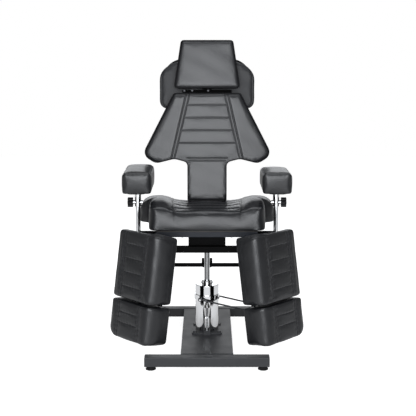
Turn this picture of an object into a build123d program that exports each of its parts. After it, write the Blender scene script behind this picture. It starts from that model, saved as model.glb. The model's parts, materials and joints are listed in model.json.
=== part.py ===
# Hydraulic tattoo chair with split leg rests, winged backrest, headrest, face cradle and armrests.
# Millimetres. -Y is the way the chair faces, +X is the right-hand side seen from the front, +Z is up.
# Left and right in the names are those of someone who looks at the chair from the front.
# The origin is on the floor under the lifting column.

import math
import os

from build123d import *

os.makedirs("parts", exist_ok=True)

# Clearances and shared small sizes
overrun = 1.0                # how far a cutting tool passes a face
seat_gap = 0.3               # between pieces that meet but don't touch
running_gap = 0.05           # radial, between a shaft and its bore

# Base
beam_length = 580.0
beam_depth = 54.0
beam_height = 46.0
beam_wall = 3.0
beam_end_fillet = 4.0
beam_centre_y = 397.0
ground_clearance = 18.0
plate_width = 247.0
plate_height = 46.0
foot_spacing_x = 524.0
foot_pad_diameter = 48.0
foot_pad_height = 14.0
foot_stud_diameter = 12.0
foot_nut_width = 19.0
foot_rim_share = 0.35        # of the foot's height, where its dome starts
foot_dome_share = 0.3        # of its diameter, the dome's top radius

# Hydraulic pump and column
flange_size = 150.0
flange_thickness = 8.0
flange_bolt_spacing = 122.0
flange_bolt_diameter = 10.0
flange_bolt_head = 16.0
flange_bolt_head_height = 7.0
valve_height = 24.0
cylinder_diameter = 116.0
cylinder_top_z = 306.0
piston_bore_diameter = 44.0
piston_length = 20.0
cylinder_floor = 6.0
rod_diameter = 28.0
gland_diameter = 50.0
gland_height = 20.0
lift_down_travel = 35.0

# Pedal, its yoke and the small pump that it works
pump_barrel_diameter = 23.0
pump_barrel_y = -75.0
pump_barrel_top_z = 150.0
plunger_rod_diameter = 12.0
plunger_body_diameter = 34.0
plunger_neck_diameter = 14.0
plunger_wide_z = 205.0
pedal_pivot_x = -35.0
pedal_pivot_z = 243.0
pedal_slope = 13.2           # degrees below level
yoke_rod_diameter = 8.0
yoke_back_y = 72.0
yoke_length = 330.0
yoke_tie_width = 18.0
yoke_tie_thickness = 5.0
yoke_eye_diameter = 18.0
yoke_eye_width = 10.0
pivot_pin_diameter = 9.0
clamp_band_height = 26.0
clamp_band_thickness = 5.0
pedal_pad_length = 66.0
pedal_pad_width = 160.0
pedal_pad_thickness = 12.0

# Swivel and the carriage that carries the seat
housing_width = 182.0
housing_front_y = -70.0
housing_back_y = 110.0
housing_bottom_z = 487.0
housing_wall = 4.0
rail_bottom_z = 564.0
rail_height = 27.0
rail_depth = 30.0
frame_width = 492.0
frame_front_y = -100.0
frame_back_y = 252.0
inner_rail_x = 80.0
hub_diameter = 90.0
spindle_diameter = 50.0
spindle_flange_diameter = 76.0
spindle_flange_thickness = 6.0
crossbar_height = 30.0
crossbar_depth = 30.0
crossbar_length = 430.0

# Seat
seat_board_thickness = 10.0
seat_front_y = -130.0
seat_back_y = 278.0
seat_front_width = 550.0
seat_hip_width = 674.0
seat_hip_start_y = 48.0
seat_hip_full_y = 92.0
seat_front_corner = 60.0
seat_back_corner = 55.0
seat_dish_z = 698.0          # top of the centre panel at the front edge
seat_crest_z = 738.0         # top of the side bolsters
seat_side_z = 694.0          # top at the outer edge of the hips
seat_fall = 1.7              # degrees that the top falls towards the back
seat_edge_radius = 16.0
seat_panel_width = 350.0
seat_crest_share = 0.84      # of the front's half width, where the bolster is highest
channel_width = 4.0
channel_depth = 4.0

# Backrest, in its own leaning plane: up is measured along the back from the hinge,
# and out is measured square to it, towards the sitter
back_lean = 7.0
hinge_y = 300.0
hinge_z = 577.0
hinge_pin_diameter = 16.0
hinge_barrel_diameter = 32.0
hinge_barrel_length = 150.0
hinge_ear_thickness = 8.0
back_face_out = 110.0
back_thickness = 75.0
back_board_thickness = 10.0
spine_width = 60.0
spine_thickness = 30.0
spine_up = 440.0
spine_root_thickness = 24.0
back_bottom_up = 108.0
neck_width = 205.0
neck_top_up = 306.0
wing_bottom_up = 300.0
wing_widest_up = 350.0
back_wing_width = 626.0
back_top_width = 332.0
back_top_up = 651.0
wing_corner = 40.0
neck_corner = 26.0
top_corner = 16.0
back_edge_radius = 14.0
back_crown_radius = 2400.0
side_seam_bottom_share = 0.28    # of the width there, from the middle to the seam
side_seam_top_share = 0.325
brake_radius = 42.0
brake_thickness = 6.0
brake_x = 62.0
brake_start = -28.0          # degrees, from the rear horizontal
brake_end = -112.0

# Headrest and face cradle
mast_width = 50.0
mast_thickness = 8.0
mast_out = 17.0
mast_bottom_up = 440.0
socket_bottom_up = 450.0
socket_top_up = 555.0
socket_wall = 4.0
head_hinge_up = 695.0
head_hinge_out = 27.0
head_knuckle_diameter = 14.0
head_pin_diameter = 8.0
head_bottom_up = 680.0
head_top_up = 920.0
head_bottom_width = 312.0
head_top_width = 260.0
head_corner = 14.0
head_thickness = 65.0
head_board_thickness = 8.0
head_edge_radius = 12.0
head_crown_radius = 1100.0
cradle_bottom_up = 575.0
cradle_top_up = 850.0
cradle_width = 486.0
cradle_corner = 42.0
cradle_shoulder = 118.0
cradle_face_out = 9.0
cradle_thickness = 39.0
cradle_board_thickness = 6.0
cradle_opening_width = 96.0
cradle_opening_bottom_up = 700.0
cradle_opening_top_up = 800.0
cradle_edge_radius = 10.0
cradle_pin_diameter = 8.0
cradle_pin_up = 563.0
cradle_lug_thickness = 6.0

# Recline release
release_shaft_diameter = 14.0
release_shaft_y = 205.0
release_shaft_z = 534.0
release_bar_y = 100.0
release_bar_z = 377.0
release_bar_diameter = 20.0
release_bar_length = 420.0
release_grip_length = 46.0
release_grip_diameter = 26.0
release_arm_width = 24.0
release_arm_thickness = 6.0
release_arm_x = 196.0
shoe_width = 12.0
shoe_lead = 6.0              # degrees that the shoe's middle lies inside the sector's end
bracket_thickness = 6.0

# Armrests
arm_x = 344.0
arm_y = 45.0
arm_post_diameter = 24.0
arm_post_top_z = 764.0
sleeve_diameter = 31.0
sleeve_bottom_z = 692.0
sleeve_top_z = 768.0
sleeve_cap = 3.0
outrigger_height = 22.0
outrigger_depth = 28.0
arm_pad_bottom_z = 778.0
arm_pad_top_z = 875.0
arm_pad_width = 130.0
arm_pad_front_y = -106.0
arm_pad_back_y = 216.0
arm_pad_front_corner = 18.0
arm_pad_back_corner = 46.0
arm_pad_edge_radius = 15.0
arm_pad_crown_radius = 560.0
arm_plate_thickness = 5.0
arm_plate_margin = 22.0
arm_pin_diameter = 20.0
arm_pin_length = 30.0
knob_z = 712.0
knob_diameter = 51.0
knob_thickness = 26.0
knob_lobe_diameter = 15.0
knob_lobes = 6
knob_stem_diameter = 12.0
knob_boss_diameter = 20.0
knob_boss_length = 9.0

# Leg rests, each in its own plane: up along the pad, out square to its face, from the raising hinge
leg_yaw = 46.0
leg_pitch = 9.1
leg_hinge_beyond = 38.0      # sideways from the swivel pin to the raising hinge
leg_hinge_y = -181.0
leg_hinge_z = 582.0
leg_pin_margin = 25.0        # from the crossbar's end to its pin
leg_pin_diameter = 14.0
leg_width = 272.0
leg_thickness = 100.0
leg_board_thickness = 10.0
leg_back_out = 25.0
leg_top_up = 12.0
calf_length = 304.0
leg_split = 9.0
foot_length = 184.0
leg_corner = 20.0
foot_outer_corner = 52.0
leg_edge_radius = 15.0
leg_crown_radius = 900.0
leg_board_margin = 12.0
leg_hinge_pin_diameter = 12.0
leg_barrel_diameter = 24.0
leg_barrel_length = 40.0
leg_lug_thickness = 9.0
leg_plate_thickness = 7.5
leg_bracket_width = 40.0
leg_riser_thickness = 12.0
foot_rod_diameter = 12.0
foot_rod_x = 70.0
foot_sleeve_size = 20.0
foot_sleeve_length = 180.0

# Sizes that follow from those
beam_top_z = ground_clearance + beam_height
flange_top_z = beam_top_z + flange_thickness
gland_top_z = cylinder_top_z + gland_height
piston_bore_bottom_z = flange_top_z + cylinder_floor
rod_bottom_z = piston_bore_bottom_z + lift_down_travel + cylinder_floor
rail_top_z = rail_bottom_z + rail_height
frame_half = frame_width / 2
seat_bottom_z = rail_top_z + seat_board_thickness
spindle_bottom_z = housing_bottom_z + spindle_flange_thickness
spindle_top_z = rail_bottom_z - housing_wall - cylinder_floor
crossbar_y = housing_front_y - crossbar_depth / 2
leg_pin_x = crossbar_length / 2 - leg_pin_margin
leg_hinge_x = leg_pin_x + leg_hinge_beyond
board_front_out = back_face_out - back_thickness
spine_front_out = board_front_out - back_board_thickness

back_plane = Plane(
    origin=(0, hinge_y, hinge_z),
    x_dir=(1, 0, 0),
    z_dir=(0, -math.cos(math.radians(back_lean)), math.sin(math.radians(back_lean))),
)


def on_back(x, up, out):
    """Place a point given in the backrest's own plane."""
    return back_plane.from_local_coords(Vector(x, up, out))


# Base: two crossbeams, the plate between them and four levelling feet
for end, direction in (("front", -1), ("rear", 1)):
    with BuildPart() as crossbeam:
        with BuildSketch(Plane.YZ.offset(-beam_length / 2)):
            with Locations((direction * beam_centre_y, ground_clearance + beam_height / 2)):
                RectangleRounded(beam_depth, beam_height, beam_end_fillet)
        extrude(amount=beam_length)
        with BuildSketch(Plane.XY.offset(ground_clearance)):
            with Locations((0, direction * beam_centre_y)):
                with GridLocations(foot_spacing_x, 0, 2, 1):
                    Circle(foot_stud_diameter / 2 + running_gap)
        extrude(amount=beam_height - beam_wall, mode=Mode.SUBTRACT)
    crossbeam.part.label = f"{end}_crossbeam"
    export_step(crossbeam.part, f"parts/{end}_crossbeam.step")

plate_span = 2 * beam_centre_y - beam_depth
with BuildPart() as base_plate:
    with BuildSketch(Plane.XY.offset(beam_top_z - plate_height)):
        Rectangle(plate_width, plate_span)
    extrude(amount=plate_height)
    with BuildSketch(Plane.XY.offset(beam_top_z - plate_height)):
        Rectangle(plate_width - 2 * housing_wall, plate_span - 2 * housing_wall)
    extrude(amount=plate_height - housing_wall, mode=Mode.SUBTRACT)
base_plate.part.label = "base_plate"
export_step(base_plate.part, "parts/base_plate.step")

foot_stud_top_z = beam_top_z - beam_wall - overrun
with BuildPart() as levelling_feet:
    with BuildSketch(Plane.XZ):
        with BuildLine():
            Polyline(
                (0, 0),
                (foot_pad_diameter / 2, 0),
                (foot_pad_diameter / 2, foot_pad_height * foot_rim_share),
                (foot_pad_diameter * foot_dome_share, foot_pad_height),
                (0, foot_pad_height),
                (0, 0),
            )
        make_face()
    revolve(axis=Axis.Z)
    with BuildSketch(Plane.XY):
        Circle(foot_stud_diameter / 2)
    extrude(amount=foot_stud_top_z)
    with BuildSketch(Plane.XY.offset(foot_pad_height)):
        RegularPolygon(foot_nut_width / 2, 6, major_radius=False)
    extrude(amount=ground_clearance - seat_gap - foot_pad_height)
foot_solid = levelling_feet.part
with BuildPart() as feet:
    with GridLocations(foot_spacing_x, 2 * beam_centre_y, 2, 2):
        add(foot_solid)
feet.part.label = "levelling_feet"
export_step(feet.part, "parts/levelling_feet.step")

# Pump: flange with the small barrel's seat, cylinder, gland and bolts
valve_width = pump_barrel_diameter + 2 * seat_gap + flange_thickness
valve_front_y = pump_barrel_y - pump_barrel_diameter / 2 - flange_thickness / 2
with BuildPart() as pump_flange:
    with BuildSketch(Plane.XY.offset(beam_top_z)):
        RectangleRounded(flange_size, flange_size, flange_thickness)
    extrude(amount=flange_thickness)
    with BuildSketch(Plane.XY.offset(beam_top_z)):
        with Locations((0, valve_front_y / 2)):
            Rectangle(valve_width, -valve_front_y)
    extrude(amount=valve_height)
    with BuildSketch(Plane.XY.offset(flange_top_z)):
        Circle(cylinder_diameter / 2 + running_gap)
    extrude(amount=valve_height, mode=Mode.SUBTRACT)
    with BuildSketch(Plane.XY.offset(beam_top_z)):
        with GridLocations(flange_bolt_spacing, flange_bolt_spacing, 2, 2):
            Circle(flange_bolt_diameter / 2 + running_gap)
    extrude(amount=flange_thickness, mode=Mode.SUBTRACT)
pump_flange.part.label = "pump_flange"
export_step(pump_flange.part, "parts/pump_flange.step")

with BuildPart() as flange_bolts:
    with BuildSketch(Plane.XY.offset(flange_top_z)):
        with GridLocations(flange_bolt_spacing, flange_bolt_spacing, 2, 2):
            RegularPolygon(flange_bolt_head / 2, 6, major_radius=False)
    extrude(amount=flange_bolt_head_height)
    with BuildSketch(Plane.XY.offset(beam_top_z)):
        with GridLocations(flange_bolt_spacing, flange_bolt_spacing, 2, 2):
            Circle(flange_bolt_diameter / 2)
    extrude(amount=flange_thickness)
flange_bolts.part.label = "flange_bolts"
export_step(flange_bolts.part, "parts/flange_bolts.step")

with BuildPart() as pump_cylinder:
    with BuildSketch(Plane.XY.offset(flange_top_z)):
        Circle(cylinder_diameter / 2)
    extrude(amount=cylinder_top_z - flange_top_z)
    with BuildSketch(Plane.XY.offset(piston_bore_bottom_z)):
        Circle(piston_bore_diameter / 2 + running_gap)
    extrude(amount=cylinder_top_z - piston_bore_bottom_z, mode=Mode.SUBTRACT)
    chamfer(pump_cylinder.edges().group_by(Axis.Z)[-1].sort_by(SortBy.LENGTH)[-1], 2 * overrun)
pump_cylinder.part.label = "pump_cylinder"
export_step(pump_cylinder.part, "parts/pump_cylinder.step")

with BuildPart() as gland_collar:
    with BuildSketch(Plane.XY.offset(cylinder_top_z)):
        Circle(gland_diameter / 2)
        Circle(rod_diameter / 2 + running_gap, mode=Mode.SUBTRACT)
    extrude(amount=gland_height)
    chamfer(gland_collar.edges().group_by(Axis.Z)[-1].sort_by(SortBy.LENGTH)[-1], 2 * overrun)
gland_collar.part.label = "gland_collar"
export_step(gland_collar.part, "parts/gland_collar.step")

barrel_bottom_z = beam_top_z + valve_height
with BuildPart() as pedal_pump_barrel:
    with BuildSketch(Plane.XY.offset(barrel_bottom_z)):
        with Locations((0, pump_barrel_y)):
            Circle(pump_barrel_diameter / 2)
            Circle(plunger_rod_diameter / 2 + running_gap, mode=Mode.SUBTRACT)
    extrude(amount=pump_barrel_top_z - barrel_bottom_z)
pedal_pump_barrel.part.label = "pedal_pump_barrel"
export_step(pedal_pump_barrel.part, "parts/pedal_pump_barrel.step")

# Band round the cylinder with the two pivot pins of the pedal yoke
band_radius = cylinder_diameter / 2 + clamp_band_thickness
pin_front_y = pump_barrel_y - yoke_eye_width
pin_back_y = yoke_back_y + yoke_eye_width
with BuildPart() as lever_clamp:
    with BuildSketch(Plane.XY.offset(pedal_pivot_z - clamp_band_height / 2)):
        Circle(band_radius)
        Circle(cylinder_diameter / 2 + running_gap, mode=Mode.SUBTRACT)
    extrude(amount=clamp_band_height)
    for start_y, end_y in ((pin_front_y, 0), (0, pin_back_y)):
        with BuildSketch(Plane.XZ.offset(-end_y)):
            with Locations((pedal_pivot_x, pedal_pivot_z)):
                Circle(pivot_pin_diameter / 2)
        extrude(amount=end_y - start_y)
    with BuildSketch(Plane.XY.offset(pedal_pivot_z - clamp_band_height)):
        Circle(cylinder_diameter / 2 + running_gap)
    extrude(amount=2 * clamp_band_height, mode=Mode.SUBTRACT)
lever_clamp.part.label = "lever_clamp"
export_step(lever_clamp.part, "parts/lever_clamp.step")

# Pedal: a yoke of two rods, one in front of the cylinder and one behind it, with a rubber tread
slope = math.radians(pedal_slope)
yoke_plane = Plane(
    origin=(pedal_pivot_x, 0, pedal_pivot_z),
    x_dir=(math.cos(slope), 0, -math.sin(slope)),
    z_dir=(math.sin(slope), 0, math.cos(slope)),
)
yoke_middle_y = (pump_barrel_y + yoke_back_y) / 2
yoke_spread = yoke_back_y - pump_barrel_y
with BuildPart() as pedal_yoke:
    for rod_y in (pump_barrel_y, yoke_back_y):
        with BuildSketch(Plane(yoke_plane.from_local_coords(Vector(0, rod_y, 0)), z_dir=yoke_plane.x_dir)):
            Circle(yoke_rod_diameter / 2)
        extrude(amount=yoke_length)
        with BuildSketch(Plane.XZ.offset(-rod_y - yoke_eye_width / 2)):
            with Locations((pedal_pivot_x, pedal_pivot_z)):
                Circle(yoke_eye_diameter / 2)
        extrude(amount=yoke_eye_width)
    tie_start = yoke_plane.from_local_coords(Vector(yoke_length - yoke_tie_width, pump_barrel_y, 0))
    with BuildSketch(Plane(tie_start, x_dir=yoke_plane.x_dir, z_dir=(0, 1, 0))):
        Rectangle(yoke_tie_width, yoke_tie_thickness)
    extrude(amount=yoke_spread)
    with BuildSketch(Plane.XZ.offset(-yoke_back_y - yoke_eye_width)):
        with Locations((pedal_pivot_x, pedal_pivot_z)):
            Circle(pivot_pin_diameter / 2 + running_gap)
    extrude(amount=yoke_spread + 2 * yoke_eye_width, mode=Mode.SUBTRACT)
pedal_yoke.part.label = "pedal_yoke"
export_step(pedal_yoke.part, "parts/pedal_yoke.step")

pedal_middle = yoke_plane.from_local_coords(
    Vector(yoke_length - pedal_pad_length / 2, yoke_middle_y, yoke_rod_diameter / 2 + seat_gap)
)
with BuildPart() as pedal_pad:
    with BuildSketch(Plane(pedal_middle, x_dir=yoke_plane.x_dir, z_dir=yoke_plane.z_dir)):
        RectangleRounded(pedal_pad_length, pedal_pad_width, pedal_pad_thickness)
    extrude(amount=pedal_pad_thickness)
pedal_pad.part.label = "pedal_pad"
export_step(pedal_pad.part, "parts/pedal_pad.step")

# Plunger of the small pump, pushed down by the yoke's front rod
yoke_drop = (plunger_neck_diameter / 2 - pedal_pivot_x) * math.tan(slope)
plunger_top_z = pedal_pivot_z - yoke_drop - yoke_rod_diameter / 2 / math.cos(slope) - 2 * seat_gap
plunger_rod_bottom_z = barrel_bottom_z + lift_down_travel
plunger_shoulder_z = pump_barrel_top_z + pump_barrel_diameter / 2
with BuildPart() as pump_plunger:
    with BuildSketch(Plane.XZ.offset(-pump_barrel_y)):
        with BuildLine():
            Polyline(
                (0, plunger_rod_bottom_z),
                (plunger_rod_diameter / 2, plunger_rod_bottom_z),
                (plunger_rod_diameter / 2, plunger_shoulder_z),
                (pump_barrel_diameter / 2, plunger_shoulder_z),
                (plunger_body_diameter / 2, plunger_wide_z),
                (plunger_neck_diameter / 2, plunger_top_z),
                (0, plunger_top_z),
                (0, plunger_rod_bottom_z),
            )
        make_face()
    revolve(axis=Axis((0, pump_barrel_y, 0), (0, 0, 1)))
pump_plunger.part.label = "pump_plunger"
export_step(pump_plunger.part, "parts/pump_plunger.step")

# Ram: piston with its rod, and the spindle that the seat turns on
with BuildPart() as piston_rod:
    with BuildSketch(Plane.XY.offset(rod_bottom_z)):
        Circle(rod_diameter / 2)
    extrude(amount=spindle_bottom_z - rod_bottom_z)
    with BuildSketch(Plane.XY.offset(rod_bottom_z)):
        Circle(piston_bore_diameter / 2)
    extrude(amount=piston_length)
piston_rod.part.label = "piston_rod"
export_step(piston_rod.part, "parts/piston_rod.step")

spindle_shoulder_z = spindle_bottom_z + spindle_flange_thickness
with BuildPart() as swivel_spindle:
    with BuildSketch(Plane.XY.offset(spindle_bottom_z)):
        Circle(spindle_flange_diameter / 2)
    extrude(amount=spindle_flange_thickness)
    with BuildSketch(Plane.XY.offset(spindle_bottom_z)):
        Circle(spindle_diameter / 2)
    extrude(amount=spindle_top_z - spindle_bottom_z)
swivel_spindle.part.label = "swivel_spindle"
export_step(swivel_spindle.part, "parts/swivel_spindle.step")

# Carriage: housing over the swivel, hub, frame rails and the leg rests' crossbar
housing_depth = housing_back_y - housing_front_y
housing_middle_y = (housing_back_y + housing_front_y) / 2
housing_height = rail_bottom_z - housing_bottom_z
with BuildPart() as mount_housing:
    with BuildSketch(Plane.XY.offset(housing_bottom_z)):
        with Locations((0, housing_middle_y)):
            Rectangle(housing_width, housing_depth)
    extrude(amount=housing_height)
    with BuildSketch(Plane.XY.offset(housing_bottom_z)):
        with Locations((0, housing_middle_y)):
            Rectangle(housing_width - 2 * housing_wall, housing_depth - 2 * housing_wall)
    extrude(amount=housing_height - housing_wall, mode=Mode.SUBTRACT)
mount_housing.part.label = "mount_housing"
export_step(mount_housing.part, "parts/mount_housing.step")

hub_bottom_z = spindle_shoulder_z + seat_gap
with BuildPart() as swivel_hub:
    with BuildSketch(Plane.XY.offset(hub_bottom_z)):
        Circle(hub_diameter / 2)
        Circle(spindle_diameter / 2 + running_gap, mode=Mode.SUBTRACT)
    extrude(amount=rail_bottom_z - housing_wall - hub_bottom_z)
swivel_hub.part.label = "swivel_hub"
export_step(swivel_hub.part, "parts/swivel_hub.step")

with BuildPart() as leg_crossbar:
    with BuildSketch(Plane.XY.offset(housing_bottom_z)):
        with Locations((0, crossbar_y)):
            Rectangle(crossbar_length, crossbar_depth)
    extrude(amount=crossbar_height)
    with BuildSketch(Plane.XY.offset(housing_bottom_z)):
        with Locations((0, crossbar_y)):
            with GridLocations(2 * leg_pin_x, 0, 2, 1):
                Circle(leg_pin_diameter / 2 + running_gap)
    extrude(amount=crossbar_height, mode=Mode.SUBTRACT)
leg_crossbar.part.label = "leg_crossbar"
export_step(leg_crossbar.part, "parts/leg_crossbar.step")

side_rail_length = frame_back_y - frame_front_y - 2 * rail_depth
side_rail_middle_y = (frame_back_y + frame_front_y) / 2
front_rail_y = frame_front_y + rail_depth / 2
rear_rail_y = frame_back_y - rail_depth / 2
for name, middle_y in (("front_rail", front_rail_y), ("rear_rail", rear_rail_y)):
    with BuildPart() as cross_rail:
        with BuildSketch(Plane.XY.offset(rail_bottom_z)):
            with Locations((0, middle_y)):
                Rectangle(frame_width, rail_depth)
        extrude(amount=rail_height)
        fillet(cross_rail.edges().filter_by(Axis.X), beam_wall)
    cross_rail.part.label = name
    export_step(cross_rail.part, f"parts/{name}.step")

with BuildPart() as long_rails:
    with BuildSketch(Plane.XY.offset(rail_bottom_z)):
        for spacing in (frame_width - rail_depth, 2 * inner_rail_x):
            with Locations((0, side_rail_middle_y)):
                with GridLocations(spacing, 0, 2, 1):
                    Rectangle(rail_depth, side_rail_length)
    extrude(amount=rail_height)
long_rails.part.label = "long_rails"
export_step(long_rails.part, "parts/long_rails.step")

with BuildPart() as seat_board:
    with BuildSketch(Plane.XY.offset(rail_top_z)):
        with Locations((0, side_rail_middle_y)):
            Rectangle(frame_width, frame_back_y - frame_front_y)
    extrude(amount=seat_board_thickness)
seat_board.part.label = "seat_board"
export_step(seat_board.part, "parts/seat_board.step")


# Seat cushion: a dished section run front to back, cut to the seat's outline
half_front = seat_front_width / 2
half_hip = seat_hip_width / 2
half_panel = seat_panel_width / 2
with BuildPart() as seat_cushion:
    with BuildSketch(Plane.XY.offset(seat_bottom_z)) as seat_outline:
        with BuildLine():
            Polyline(
                (-half_front, seat_front_y),
                (half_front, seat_front_y),
                (half_front, seat_hip_start_y),
                (half_hip, seat_hip_full_y),
                (half_hip, seat_back_y),
                (-half_hip, seat_back_y),
                (-half_hip, seat_hip_full_y),
                (-half_front, seat_hip_start_y),
                (-half_front, seat_front_y),
            )
        make_face()
        corners = seat_outline.vertices()
        fillet(corners.group_by(Axis.Y)[0], seat_front_corner)
        fillet(seat_outline.vertices().group_by(Axis.Y)[-1], seat_back_corner)
    extrude(amount=seat_crest_z + seat_edge_radius - seat_bottom_z)
    fall_plane = Plane(
        origin=(0, seat_front_y - seat_edge_radius, 0),
        x_dir=(1, 0, 0),
        z_dir=(0, -math.cos(math.radians(seat_fall)), math.sin(math.radians(seat_fall))),
    )
    crest_x = half_front * seat_crest_share
    with BuildSketch(fall_plane):
        with BuildLine():
            right_hip = Spline(
                (half_hip + overrun, seat_side_z),
                ((half_front + half_hip) / 2, (seat_side_z + 2 * seat_crest_z) / 3),
                (crest_x, seat_crest_z),
                tangents=[(-1, 1), (-1, 0)],
            )
            dish = Spline(
                (crest_x, seat_crest_z),
                (half_panel, (seat_dish_z + seat_crest_z) / 2),
                (0, seat_dish_z),
                (-half_panel, (seat_dish_z + seat_crest_z) / 2),
                (-crest_x, seat_crest_z),
                tangents=[(-1, 0), (-1, 0)],
            )
            left_hip = Spline(
                (-crest_x, seat_crest_z),
                (-(half_front + half_hip) / 2, (seat_side_z + 2 * seat_crest_z) / 3),
                (-half_hip - overrun, seat_side_z),
                tangents=[(-1, 0), (-1, -1)],
            )
            Polyline(
                left_hip @ 1,
                (-half_hip - overrun, rail_bottom_z),
                (half_hip + overrun, rail_bottom_z),
                right_hip @ 0,
            )
        make_face()
    extrude(amount=-(seat_back_y - seat_front_y + 2 * seat_edge_radius), mode=Mode.INTERSECT)
seat_cushion.part.label = "seat_cushion"
export_step(seat_cushion.part, "parts/seat_cushion.step")

# Recline hinge: ears on the rear rail with the pin between them
ear_x = hinge_barrel_length / 2 + seat_gap
with BuildPart() as recline_hinge:
    with BuildSketch(Plane.YZ.offset(-ear_x - hinge_ear_thickness)):
        with Locations((hinge_y, hinge_z)):
            Circle(hinge_barrel_diameter / 2 - overrun)
        with Locations(((frame_back_y + hinge_y) / 2, hinge_z)):
            Rectangle(hinge_y - frame_back_y, rail_height - 2 * beam_wall)
    ear = extrude(amount=hinge_ear_thickness)
    mirror(ear, about=Plane.YZ)
    with BuildSketch(Plane.YZ.offset(-ear_x - hinge_ear_thickness)):
        with Locations((hinge_y, hinge_z)):
            Circle(hinge_pin_diameter / 2)
    extrude(amount=2 * (ear_x + hinge_ear_thickness))
recline_hinge.part.label = "recline_hinge"
export_step(recline_hinge.part, "parts/recline_hinge.step")

# Backrest: spine with its hinge barrel, brake sectors, board and winged cushion
spine_root_top_up = back_bottom_up + spine_thickness
with BuildPart() as back_spine:
    with BuildSketch(back_plane.offset(-spine_root_thickness / 2)):
        with Locations((0, spine_root_top_up / 2)):
            Rectangle(spine_width, spine_root_top_up)
    extrude(amount=spine_root_thickness)
    with BuildSketch(back_plane.offset(spine_front_out - spine_thickness)):
        with Locations((0, (back_bottom_up + spine_up) / 2)):
            Rectangle(spine_width, spine_up - back_bottom_up)
    extrude(amount=spine_thickness)
    with BuildSketch(Plane.YZ.offset(-hinge_barrel_length / 2)):
        with Locations((hinge_y, hinge_z)):
            Circle(hinge_barrel_diameter / 2)
    extrude(amount=hinge_barrel_length)
    with BuildSketch(Plane.YZ.offset(-hinge_barrel_length / 2)):
        with Locations((hinge_y, hinge_z)):
            Circle(hinge_pin_diameter / 2 + running_gap)
    extrude(amount=hinge_barrel_length, mode=Mode.SUBTRACT)
back_spine.part.label = "back_spine"
export_step(back_spine.part, "parts/back_spine.step")

brake_inner = hinge_barrel_diameter / 2 + seat_gap
brake_middle = math.radians((brake_start + brake_end) / 2)


def on_brake(radius, degrees):
    """Point of the brake sector, degrees counted from the rear horizontal."""
    angle = math.radians(degrees)
    return (hinge_y + radius * math.cos(angle), hinge_z + radius * math.sin(angle))


with BuildPart() as brake_sectors:
    with BuildSketch(Plane.YZ.offset(-brake_x - brake_thickness / 2)):
        with BuildLine():
            middle_degrees = math.degrees(brake_middle)
            ThreePointArc(
                on_brake(brake_radius, brake_start),
                on_brake(brake_radius, middle_degrees),
                on_brake(brake_radius, brake_end),
            )
            Line(on_brake(brake_radius, brake_end), on_brake(brake_inner, brake_end))
            ThreePointArc(
                on_brake(brake_inner, brake_end),
                on_brake(brake_inner, middle_degrees),
                on_brake(brake_inner, brake_start),
            )
            Line(on_brake(brake_inner, brake_start), on_brake(brake_radius, brake_start))
        make_face()
    sector = extrude(amount=brake_thickness)
    mirror(sector, about=Plane.YZ)
brake_sectors.part.label = "brake_sectors"
export_step(brake_sectors.part, "parts/brake_sectors.step")


def back_outline_points(inset):
    """Right-hand half of the winged outline, drawn in by inset, from the foot of the neck upwards."""
    half_neck = neck_width / 2 - inset
    half_wing = back_wing_width / 2 - inset
    half_top = back_top_width / 2 - inset
    return [
        (half_neck, back_bottom_up + inset),
        (half_neck, neck_top_up + inset),
        (half_wing - wing_corner, wing_bottom_up + inset),
        (half_wing, wing_widest_up),
        (half_top, back_top_up - inset),
    ]


back_board_inset = leg_board_margin
with BuildPart() as back_board:
    with BuildSketch(back_plane.offset(spine_front_out)):
        right_half = back_outline_points(back_board_inset)
        left_half = [(-x, up) for x, up in reversed(right_half)]
        with BuildLine():
            Polyline(*right_half, *left_half, close=True)
        make_face()
    extrude(amount=back_board_thickness)
back_board.part.label = "back_board"
export_step(back_board.part, "parts/back_board.step")

side_seam_bottom = (back_wing_width * side_seam_bottom_share, wing_widest_up)
side_seam_top = (back_top_width * side_seam_top_share, back_top_up)
seam_up_shares = (0.16, 0.375, 0.59, 0.805)
with BuildPart() as back_cushion:
    with BuildSketch(back_plane.offset(board_front_out)) as back_outline:
        right_half = back_outline_points(0)
        left_half = [(-x, up) for x, up in reversed(right_half)]
        with BuildLine():
            Polyline(*right_half, *left_half, close=True)
        make_face()
        rows = back_outline.vertices().sort_by(Axis(back_plane.origin, back_plane.y_dir))
        wing_low = rows[2:4]
        neck_pair = rows[4:6]
        wing_high = rows[6:8]
        top_pair = rows[8:10]
        fillet(neck_pair, neck_corner)
        fillet(wing_low + wing_high, wing_corner)
        fillet(top_pair, top_corner)
    extrude(amount=back_thickness)
    crown_origin = on_back(0, 0, back_face_out - back_crown_radius)
    crown_axis = Plane(crown_origin, x_dir=(1, 0, 0), z_dir=back_plane.y_dir)
    with BuildSketch(crown_axis):
        Circle(back_crown_radius)
    extrude(amount=back_top_up + overrun, mode=Mode.INTERSECT)
    front_face = back_cushion.faces().sort_by(Axis(back_plane.origin, back_plane.z_dir))[-1]
    fillet(front_face.edges(), back_edge_radius)
    groove_plane = back_plane.offset(back_face_out - 2 * channel_depth)
    with BuildSketch(groove_plane):
        for side in (-1, 1):
            bottom_x, bottom_up = side_seam_bottom
            top_x, top_up = side_seam_top
            half_groove = channel_width / 2
            with BuildLine():
                Polyline(
                    (side * (bottom_x - half_groove), bottom_up),
                    (side * (bottom_x + half_groove), bottom_up),
                    (side * (top_x + half_groove), top_up),
                    (side * (top_x - half_groove), top_up),
                    close=True,
                )
            make_face()
        for share in seam_up_shares:
            seam_up = wing_widest_up + share * (back_top_up - wing_widest_up)
            seam_half = side_seam_bottom[0] + share * (side_seam_top[0] - side_seam_bottom[0])
            with Locations((0, seam_up)):
                Rectangle(2 * seam_half, channel_width)
        with Locations((0, neck_top_up + channel_width)):
            Rectangle(neck_width, channel_width)
    extrude(amount=2 * channel_depth + overrun, mode=Mode.SUBTRACT)
back_cushion.part.label = "back_cushion"
export_step(back_cushion.part, "parts/back_cushion.step")

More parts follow.
